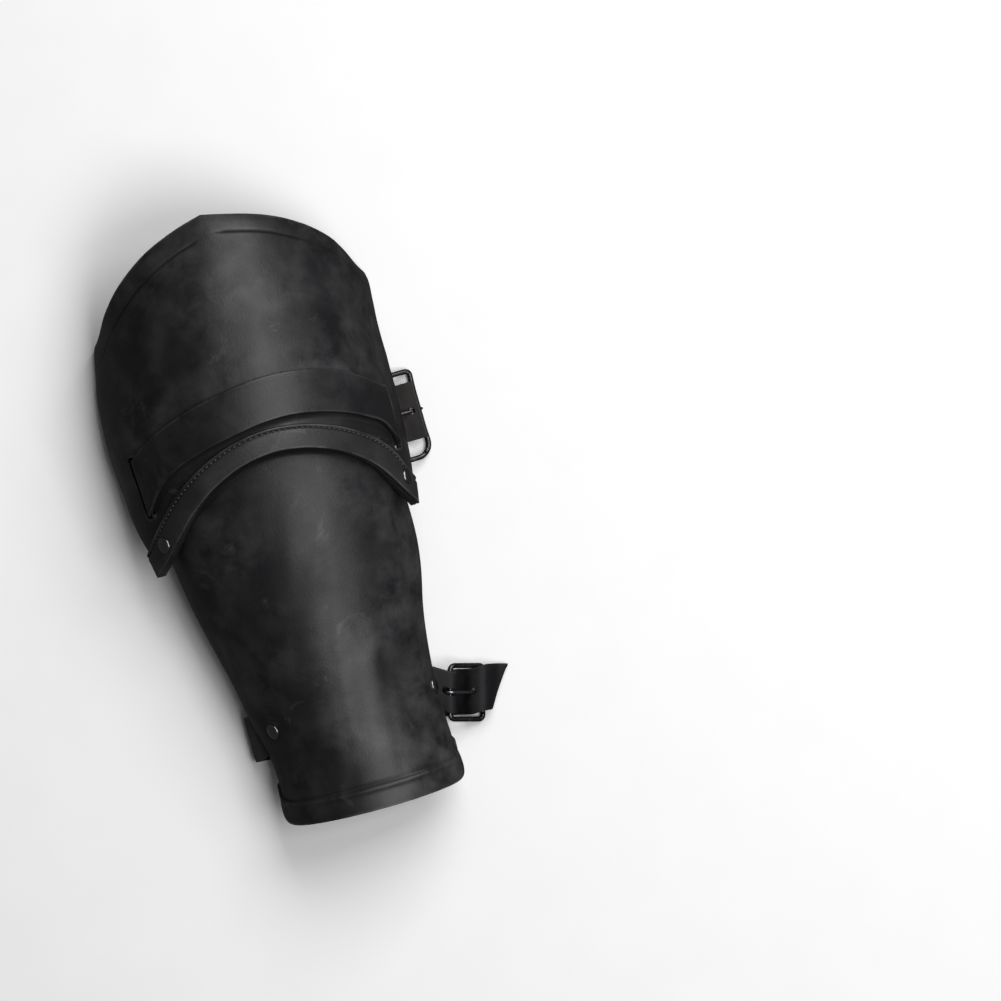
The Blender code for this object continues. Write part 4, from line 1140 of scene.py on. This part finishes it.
def build_trim_stitches():
    """The row of stitches in the channel of the arch's strip."""
    sizes = bpy.context.scene.bracer_stitches
    across = np.linspace(-TRIM_STITCHED, TRIM_STITCHED, 400)
    inset = np.full_like(across, TRIM_WIDTH - TRIM_STITCH_IN)
    lift = GAP + TRIM_SHEET - TRIM_EDGE_DROP - 0.05 * MM
    path = trim_point(across, inset, lift)
    up = trim_point(across, inset, lift + MM) - path
    up /= np.linalg.norm(up, axis=1, keepdims=True)
    obj = stitch_row("arch_stitches", path, up, sizes.pitch, sizes.length, sizes.radius)
    return dress(obj, [finish("thread")], "trim_leather")


def strap_sheet(name, route, thickness, places, columns, grain, hole=None):
    """A strap along its route, as a sheet with its two faces half a thickness from the middle surface.

    The middle surface at a share across the strap is the polynomial through the rung's lanes. Its normal is
    the cross product of the steps along and across, times 1 or -1 to put the grain side outwards.
    """
    run = route_distance(route)
    lanes = route.shape[1]
    lane_share = np.linspace(-1, 1, lanes)
    share = np.linspace(-1, 1, columns)
    weights = np.vander(share, lanes) @ np.linalg.inv(np.vander(lane_share, lanes))
    along = np.stack(
        [[np.interp(places, run, route[:, i, k]) for k in range(3)] for i in range(lanes)], axis=0
    ).transpose(2, 0, 1)
    middle = np.einsum("cl,slk->sck", weights, along)
    width = np.linalg.norm(along[:, -1] - along[:, 0], axis=-1)
    s, y = np.meshgrid(places, share, indexing="ij")
    y = y * width[:, None] / 2
    quads = grid_quads(*s.shape)
    flat_s, flat_y = s.ravel().copy(), y.ravel().copy()
    if hole:
        quads = open_holes(flat_s, flat_y, quads, hole)
        row = np.interp(flat_s, places, np.arange(len(places)))
        shift_y = (flat_y - y.ravel()).reshape(s.shape)
        low = np.clip(row.astype(int), 0, len(places) - 2)
        part = (row - low)[:, None]
        column = np.tile(np.arange(columns), len(places))
        moved = middle[low, column] * (1 - part) + middle[low + 1, column] * part
        middle = moved.reshape(middle.shape)
        across = along[:, -1] - along[:, 0]
        across /= np.linalg.norm(across, axis=-1, keepdims=True)
        middle = middle + across[:, None] * shift_y[..., None]
    step_s = np.gradient(middle, axis=0)
    step_y = np.gradient(middle, axis=1)
    normal = np.cross(step_s, step_y) * grain
    quads = quads[:, ::grain]
    normal /= np.linalg.norm(normal, axis=-1, keepdims=True)
    edge = (width[:, None] / 2 - np.abs(y)).ravel()
    ends = np.minimum(flat_s, places[-1] - flat_s)
    rim = np.minimum(edge, ends) / MM
    thin = 1 - 0.12 * bump(edge, 1.6 * MM)
    half = (thickness / 2 * thin)[:, None]
    middle, normal = middle.reshape(-1, 3), normal.reshape(-1, 3)
    uv = np.stack([flat_s, flat_y], axis=-1)
    attributes = {"groove": np.zeros_like(rim), "rim": rim}
    return thick_sheet(name, middle + normal * half, middle - normal * half, quads, uv, attributes)


def nearest_run(route, point):
    """How far along a route its middle comes nearest to a point."""
    middle = route[:, route.shape[1] // 2]
    return route_distance(route)[np.linalg.norm(middle - point, axis=1).argmin()]


def build_elbow_strap():
    """The strap over the elbow plate, in through both slots, round its buckle and back along the floor."""
    route = on_floor(smooth_route(elbow_strap_route(), 1.0 * MM), ELBOW_STRAP_SHEET)
    buckle = elbow_buckle()
    low, tip = buckle.prong_line()
    pierced = nearest_run(route, low * (1 - ELBOW_PRONG_SHARE) + tip * ELBOW_PRONG_SHARE)
    folded = nearest_run(route, buckle.hinge - np.array([0, 0, BAR_RADIUS + GAP + ELBOW_STRAP_SHEET / 2]))

    def hole(s, y):
        return np.minimum(round_box(s - pierced, y, *PRONG_HOLE), round_box(s - folded, y, *ELBOW_FOLD_SLOT))

    length = route_distance(route)[-1]
    fine = [pierced, folded - 6 * MM, folded, folded + 6 * MM]
    places = spaced(0, length, 1.5 * MM, fine, 4 * MM, 0.6 * MM)
    obj = strap_sheet("elbow_strap_leather", route, ELBOW_STRAP_SHEET, places, 33, -1, hole)
    soften(obj, 0.6 * MM)
    return dress(obj, leather("strap_leather_worn"), "strap_leather", "elbow_strap")


def build_wrist_strap():
    """The strap from the left rivet round the back and up through the wrist buckle, with its slanted tip."""
    route = on_floor(smooth_route(wrist_strap_route(), 0.8 * MM), WRIST_STRAP_SHEET)
    run = route_distance(route)
    slant = np.clip((run - run[-1] + STRAP_TIP) / STRAP_TIP, 0, 0.95)
    top = route[:, -1:]
    route = top + (route - top) * (1 - slant[:, None, None])
    low, tip = wrist_buckle().prong_line()
    pierced = nearest_run(route, low * (1 - WRIST_PRONG_SHARE) + tip * WRIST_PRONG_SHARE)

    def hole(s, y):
        return round_box(s - pierced, y, *PRONG_HOLE)

    places = spaced(0, route_distance(route)[-1], 1.3 * MM, [pierced], 4 * MM, 0.55 * MM)
    obj = strap_sheet("wrist_strap_leather", route, WRIST_STRAP_SHEET, places, 25, 1, hole)
    soften(obj, 0.55 * MM)
    return dress(obj, leather("wrist_strap_worn"), "strap_leather", "wrist_strap")


def build_wrist_chape():
    """The tab folded round the wrist buckle's hinge bar, with a slot for the prong."""
    route = smooth_route(chape_route(), 0.6 * MM)
    buckle = wrist_buckle()
    folded = nearest_run(route, buckle.hinge + buckle.along * (BAR_RADIUS + GAP + CHAPE_SHEET / 2))

    def hole(s, y):
        return round_box(s - folded, y, *CHAPE_FOLD_SLOT)

    places = spaced(0, route_distance(route)[-1], 0.9 * MM, [folded], 9 * MM, 0.55 * MM)
    obj = strap_sheet("wrist_chape_leather", route, CHAPE_SHEET, places, 25, 1, hole)
    soften(obj, 0.5 * MM)
    return dress(obj, leather("wrist_strap_worn"), "strap_leather", "wrist_chape")


def frame_path(buckle):
    """A rectangle with round corners, whose outer bar bows in by a pinch over the prong."""
    out_half = buckle.depth / 2
    angles = np.radians(np.linspace(0, 90, 9))
    corners = []
    for start, out_sign, upper in ((0, 1, True), (90, -1, True), (180, -1, False), (270, 1, False)):
        radius, span = (buckle.corners[0], buckle.spans[0]) if upper else (buckle.corners[1], buckle.spans[1])
        angle = angles + math.radians(start)
        corners.append(np.stack([
            out_sign * (out_half - radius) + radius * np.cos(angle),
            (1 if upper else -1) * (span - radius) + radius * np.sin(angle),
        ], axis=-1))
    corners = np.concatenate(corners)
    loop = np.concatenate([corners, corners[:1]])
    run = np.concatenate([[0], np.cumsum(np.linalg.norm(np.diff(loop, axis=0), axis=1))])
    where = np.unique(np.concatenate([run, np.arange(0, run[-1], 1.5 * MM)]))[:-1]
    out, side = np.interp(where, run, loop[:, 0]), np.interp(where, run, loop[:, 1])
    on_outer = ease((out - out_half + FRAME_CORNER) / FRAME_CORNER)
    out = out - FRAME_PINCH * on_outer * np.clip(1 - (side / buckle.spans[0]) ** 2, 0, 1)
    middle = (buckle.outer + buckle.hinge) / 2
    return middle + out[:, None] * buckle.out + side[:, None] * buckle.side


def prong_path(buckle):
    """A hook round the hinge bar, then straight over to the top of the outer bar."""
    ring = BAR_RADIUS + GAP + PRONG_RADIUS
    angle = np.radians(np.arange(-120, -271, -10))[:, None]
    hook = buckle.hinge + ring * (buckle.out * np.cos(angle) + buckle.up * np.sin(angle))
    start, tip = buckle.prong_line()
    share = np.linspace(0.08, 1, 24)[:, None]
    end = tip + buckle.out * BAR_RADIUS * 0.6
    return np.concatenate([hook, start + (end - start) * share])


def build_buckle(word, buckle):
    """A frame of round bar and a prong that tapers to its tip."""
    bars = tube(f"{word}_buckle_frame", frame_path(buckle), buckle.up, BAR_RADIUS, True)
    dress(bars, [finish("buckle_black")], "black_metal", f"{word}_frame")
    path = prong_path(buckle)
    share = np.linspace(0, 1, len(path))
    ends = np.sqrt(np.clip(np.minimum(share, 1 - share) / 0.035, 0, 1))
    radii = PRONG_RADIUS * (1 - 0.3 * ease((share - 0.55) / 0.45)) * ends
    prong = tube(f"{word}_buckle_prong", path, buckle.side, radii, False)
    dress(prong, [finish("nickel")], "bright_metal", f"{word}_prong")


def ear_rivet_place(side):
    turn = -LEFT_EAR_RIVET_TURN if side < 0 else RIGHT_EAR_RIVET_TURN
    down = ELBOW_REACH - EAR_RIVET_UP
    return ELBOW.point(turn, down), ELBOW.normal(turn, down)


def wrist_rivet_place(side):
    turn = -LEFT_WRIST_RIVET_TURN if side < 0 else RIGHT_WRIST_RIVET_TURN
    down = WRIST_END - WRIST_STRAP_UP
    return FOREARM.point(turn, down), FOREARM.normal(turn, down)


def build_rivet(node, point, normal, sink):
    """A domed rivet: a quarter ellipse over a thin flange, a shank, and a flat back with a hollow.

    Its back lies where the solid's does along the same axis, and its cap lies lower than the solid's by sink.
    """
    mesh = frame["nodes"][node].data
    co = np.zeros(len(mesh.vertices) * 3)
    mesh.vertices.foreach_get("co", co)
    height = (co.reshape(-1, 3) - SHIFT - point) @ normal
    top = height.max() - RIVET_CAP_HEIGHT - sink
    back = height.min()
    front = back + RIVET_BACK_HEIGHT
    a = np.linspace(0, math.pi / 2, 14)
    rise = top + RIVET_CAP_HEIGHT * (0.12 + 0.88 * np.cos(a))
    dome = np.stack([RIVET_CAP_RADIUS * np.sin(a), rise], axis=-1)
    under = [
        (RIVET_CAP_RADIUS, top + RIVET_CAP_HEIGHT * 0.05), (RIVET_CAP_RADIUS * 0.96, top - sink),
        (RIVET_SHANK_RADIUS, top - sink), (RIVET_SHANK_RADIUS, front),
        (RIVET_BACK_RADIUS * 0.97, front), (RIVET_BACK_RADIUS, front - RIVET_BACK_HEIGHT * 0.3),
        (RIVET_BACK_RADIUS * 0.93, back + RIVET_BACK_HEIGHT * 0.1), (RIVET_BACK_RADIUS * 0.85, back),
        (RIVET_SHANK_RADIUS * 1.2, back), (RIVET_SHANK_RADIUS * 0.9, back + RIVET_BACK_HEIGHT * 0.4),
        (0.0, back + RIVET_BACK_HEIGHT * 0.45),
    ]
    obj = lathe(f"{node}_cap", [*dome, *under], point, normal)
    soften(obj, 0.12 * MM, 2)
    return dress(obj, [finish("nickel")], "bright_metal", node)


# The add-on

class BracerLeather(bpy.types.PropertyGroup):
    """Colours and wear of the leather."""

    plate: FloatVectorProperty(
        name="Plates", description="Dye of the two plates", subtype="COLOR", min=0, max=1,
        default=(0.006, 0.006, 0.007),
    )
    trim: FloatVectorProperty(
        name="Trim", description="Dye of the strip along the arch", subtype="COLOR", min=0, max=1,
        default=(0.012, 0.012, 0.013),
    )
    strap: FloatVectorProperty(
        name="Straps", description="Dye of the straps and the tab", subtype="COLOR", min=0, max=1,
        default=(0.006, 0.006, 0.007),
    )
    scuff: FloatVectorProperty(
        name="Scuffs", description="Colour where the dye is rubbed", subtype="COLOR", min=0, max=1,
        default=(0.066, 0.066, 0.068),
    )
    inside: FloatVectorProperty(
        name="Inside", description="Colour of the hide's inner face", subtype="COLOR", min=0, max=1,
        default=(0.022, 0.020, 0.019),
    )
    thread: FloatVectorProperty(
        name="Thread", description="Colour of the stitches", subtype="COLOR", min=0, max=1,
        default=(0.012, 0.012, 0.012),
    )
    wear: FloatProperty(name="Wear", description="How far the leather is rubbed", default=0.8, min=0, max=1)


class BracerStitches(bpy.types.PropertyGroup):
    """Sizes of the stitches."""

    pitch: FloatProperty(
        name="Pitch", description="From one stitch to the next", default=3.0 * MM, subtype="DISTANCE",
        unit="LENGTH", precision=5,
    )
    length: FloatProperty(
        name="Length", description="Length of one stitch", default=2.3 * MM, subtype="DISTANCE",
        unit="LENGTH", precision=5,
    )
    radius: FloatProperty(
        name="Radius", description="Half of the thread's thickness", default=0.48 * MM, subtype="DISTANCE",
        unit="LENGTH", precision=5,
    )


class BracerMetal(bpy.types.PropertyGroup):
    """Colours of the buckles and rivets."""

    frame: FloatVectorProperty(
        name="Frames", description="Blackened steel of the buckles' frames", subtype="COLOR", min=0, max=1,
        default=(0.055, 0.055, 0.06),
    )
    bare: FloatVectorProperty(
        name="Bare steel", description="Where the black is worn off", subtype="COLOR", min=0, max=1,
        default=(0.42, 0.42, 0.43),
    )
    bright: FloatVectorProperty(
        name="Nickel", description="Rivets and prongs", subtype="COLOR", min=0, max=1,
        default=(0.17, 0.17, 0.175),
    )


class BracerStage(bpy.types.PropertyGroup):
    """The floor, the lights and the camera."""

    floor: FloatVectorProperty(
        name="Floor", description="Colour of the floor", subtype="COLOR", min=0, max=1,
        default=(0.74, 0.74, 0.74),
    )
    key: FloatProperty(
        name="Key light", description="Power of the main soft light", default=25.0, unit="POWER"
    )
    fill: FloatProperty(
        name="Fill light", description="Power of the second light", default=17.0, unit="POWER"
    )
    sky: FloatProperty(name="Sky", description="Strength of the light from all round", default=0.09, min=0)
    distance: FloatProperty(
        name="Camera distance", description="Height of the camera", default=12.0, subtype="DISTANCE",
        unit="LENGTH",
    )
    width: FloatProperty(
        name="Picture width", description="How much of the floor the picture spans", default=0.5005,
        subtype="DISTANCE", unit="LENGTH",
    )
    roll: FloatProperty(
        name="Roll", description="How far the bracer is turned in the picture", default=math.radians(16.0),
        subtype="ANGLE",
    )


class BRACER_OT_elbow_plate(bpy.types.Operator):
    """Builds the dished elbow plate with its slots and tooled lines"""

    bl_idname = "bracer.elbow_plate"
    bl_label = "Elbow Plate"

    def execute(self, context):
        build_elbow_plate()
        return {"FINISHED"}


class BRACER_OT_forearm_plate(bpy.types.Operator):
    """Builds the tapered forearm plate with its wrist line"""

    bl_idname = "bracer.forearm_plate"
    bl_label = "Forearm Plate"

    def execute(self, context):
        build_forearm_plate()
        return {"FINISHED"}


class BRACER_OT_arch_trim(bpy.types.Operator):
    """Builds the strip along the arch and its stitches"""

    bl_idname = "bracer.arch_trim"
    bl_label = "Arch Trim"

    def execute(self, context):
        build_arch_trim()
        build_trim_stitches()
        return {"FINISHED"}


class BRACER_OT_straps(bpy.types.Operator):
    """Builds the elbow strap, the wrist strap and the wrist buckle's tab"""

    bl_idname = "bracer.straps"
    bl_label = "Straps"

    def execute(self, context):
        build_elbow_strap()
        build_wrist_strap()
        build_wrist_chape()
        return {"FINISHED"}


class BRACER_OT_buckles(bpy.types.Operator):
    """Builds both buckles' frames and prongs"""

    bl_idname = "bracer.buckles"
    bl_label = "Buckles"

    def execute(self, context):
        build_buckle("elbow", elbow_buckle())
        build_buckle("wrist", wrist_buckle())
        return {"FINISHED"}


class BRACER_OT_rivets(bpy.types.Operator):
    """Builds the four domed rivets"""

    bl_idname = "bracer.rivets"
    bl_label = "Rivets"

    def execute(self, context):
        for word, side in (("left", -1), ("right", 1)):
            build_rivet(f"ear_rivet_{word}", *ear_rivet_place(side), EAR_RIVET_SINK)
            build_rivet(f"wrist_rivet_{word}", *wrist_rivet_place(side), WRIST_RIVET_SINK)
        return {"FINISHED"}


class BRACER_OT_stage(bpy.types.Operator):
    """Builds the floor, the soft lights and the camera"""

    bl_idname = "bracer.stage"
    bl_label = "Stage"

    def execute(self, context):
        build_stage(context.scene)
        return {"FINISHED"}


def area_light(name, place, aim, size, power):
    """A soft box at a place, turned to its aim."""
    data = bpy.data.lights.new(name, "AREA")
    data.shape = "RECTANGLE"
    data.size, data.size_y = size
    data.energy = power
    obj = bpy.data.objects.new(name, data)
    bpy.context.scene.collection.objects.link(obj)
    back = np.array(place, float) - np.array(aim, float)
    back /= np.linalg.norm(back)
    right = np.cross([0.0, 1.0, 0.0], back)
    right /= np.linalg.norm(right)
    up = np.cross(back, right)
    axes = np.stack([right, up, back], axis=1)
    obj.matrix_world = Matrix([*[[*row, at] for row, at in zip(axes, place)], [0, 0, 0, 1]])
    return obj


def build_stage(scene):
    """A pale floor, two soft boxes and a camera that looks straight down with the picture's roll."""
    stage = scene.bracer_stage
    g = Graph("pale_floor")
    grain = g.noise(g.place(), 35, 3, 0.5)
    tone = g.mix(g.band(grain, 0.3, 0.7), rgba([c * 0.985 for c in stage.floor]), rgba(stage.floor))
    material = g.shade(Base_Color=tone, Roughness=0.9)
    corners = FLOOR_REACH * np.array([(-1, -1, 0), (1, -1, 0), (1, 1, 0), (-1, 1, 0)])
    floor = mesh_object("floor", corners, [[0, 1, 2, 3]])
    floor.data.materials.append(material)
    floor.visible_glossy = False

    area_light("key_box", KEY_PLACE, LIGHT_AIM, KEY_SIZE, stage.key)
    area_light("fill_box", FILL_PLACE, LIGHT_AIM, FILL_SIZE, stage.fill)

    scene.view_settings.view_transform = "Standard"
    world = bpy.data.worlds.new("soft_sky")
    world.use_nodes = True
    sky = world.node_tree.nodes["Background"]
    sky.inputs["Color"].default_value = (1, 1, 1, 1)
    sky.inputs["Strength"].default_value = stage.sky
    scene.world = world

    camera = bpy.data.cameras.new("camera")
    camera.sensor_width = 36.0
    camera.lens = camera.sensor_width * stage.distance / stage.width
    camera.clip_end = 50.0
    obj = bpy.data.objects.new("camera", camera)
    scene.collection.objects.link(obj)
    cos, sin = math.cos(stage.roll), math.sin(stage.roll)
    x, y, _ = CAMERA_AIM + SHIFT
    height = MIDDLE_HEIGHT + stage.distance
    obj.matrix_world = Matrix([(cos, sin, 0, x), (-sin, cos, 0, y), (0, 0, 1, height), (0, 0, 0, 1)])
    scene.camera = obj


class BRACER_PT_panel(bpy.types.Panel):
    """Lists the bracer's sizes, colours and pieces"""

    bl_idname = "BRACER_PT_panel"
    bl_label = "Leather Bracer"
    bl_space_type = "VIEW_3D"
    bl_region_type = "UI"
    bl_category = "Bracer"

    def draw(self, context):
        for group in (
            context.scene.bracer_leather, context.scene.bracer_stitches, context.scene.bracer_metal,
            context.scene.bracer_stage,
        ):
            box = self.layout.box()
            for name in group.__annotations__:
                box.prop(group, name)
        for operator in OPERATORS:
            self.layout.operator(operator.bl_idname)


GROUPS = (BracerLeather, BracerStitches, BracerMetal, BracerStage)
OPERATORS = (
    BRACER_OT_elbow_plate, BRACER_OT_forearm_plate, BRACER_OT_arch_trim, BRACER_OT_straps, BRACER_OT_buckles,
    BRACER_OT_rivets, BRACER_OT_stage,
)


def register():
    for each in (*GROUPS, *OPERATORS, BRACER_PT_panel):
        bpy.utils.register_class(each)
    bpy.types.Scene.bracer_leather = PointerProperty(type=BracerLeather)
    bpy.types.Scene.bracer_stitches = PointerProperty(type=BracerStitches)
    bpy.types.Scene.bracer_metal = PointerProperty(type=BracerMetal)
    bpy.types.Scene.bracer_stage = PointerProperty(type=BracerStage)


def unregister():
    for name in ("bracer_leather", "bracer_stitches", "bracer_metal", "bracer_stage"):
        delattr(bpy.types.Scene, name)
    for each in (BRACER_PT_panel, *reversed(OPERATORS), *reversed(GROUPS)):
        bpy.utils.unregister_class(each)


def main():
    """Makes every piece and the stage."""
    register()
    bpy.ops.bracer.elbow_plate()
    bpy.ops.bracer.forearm_plate()
    bpy.ops.bracer.arch_trim()
    bpy.ops.bracer.straps()
    bpy.ops.bracer.buckles()
    bpy.ops.bracer.rivets()
    bpy.ops.bracer.stage()


if __name__ == "__main__":
    main()
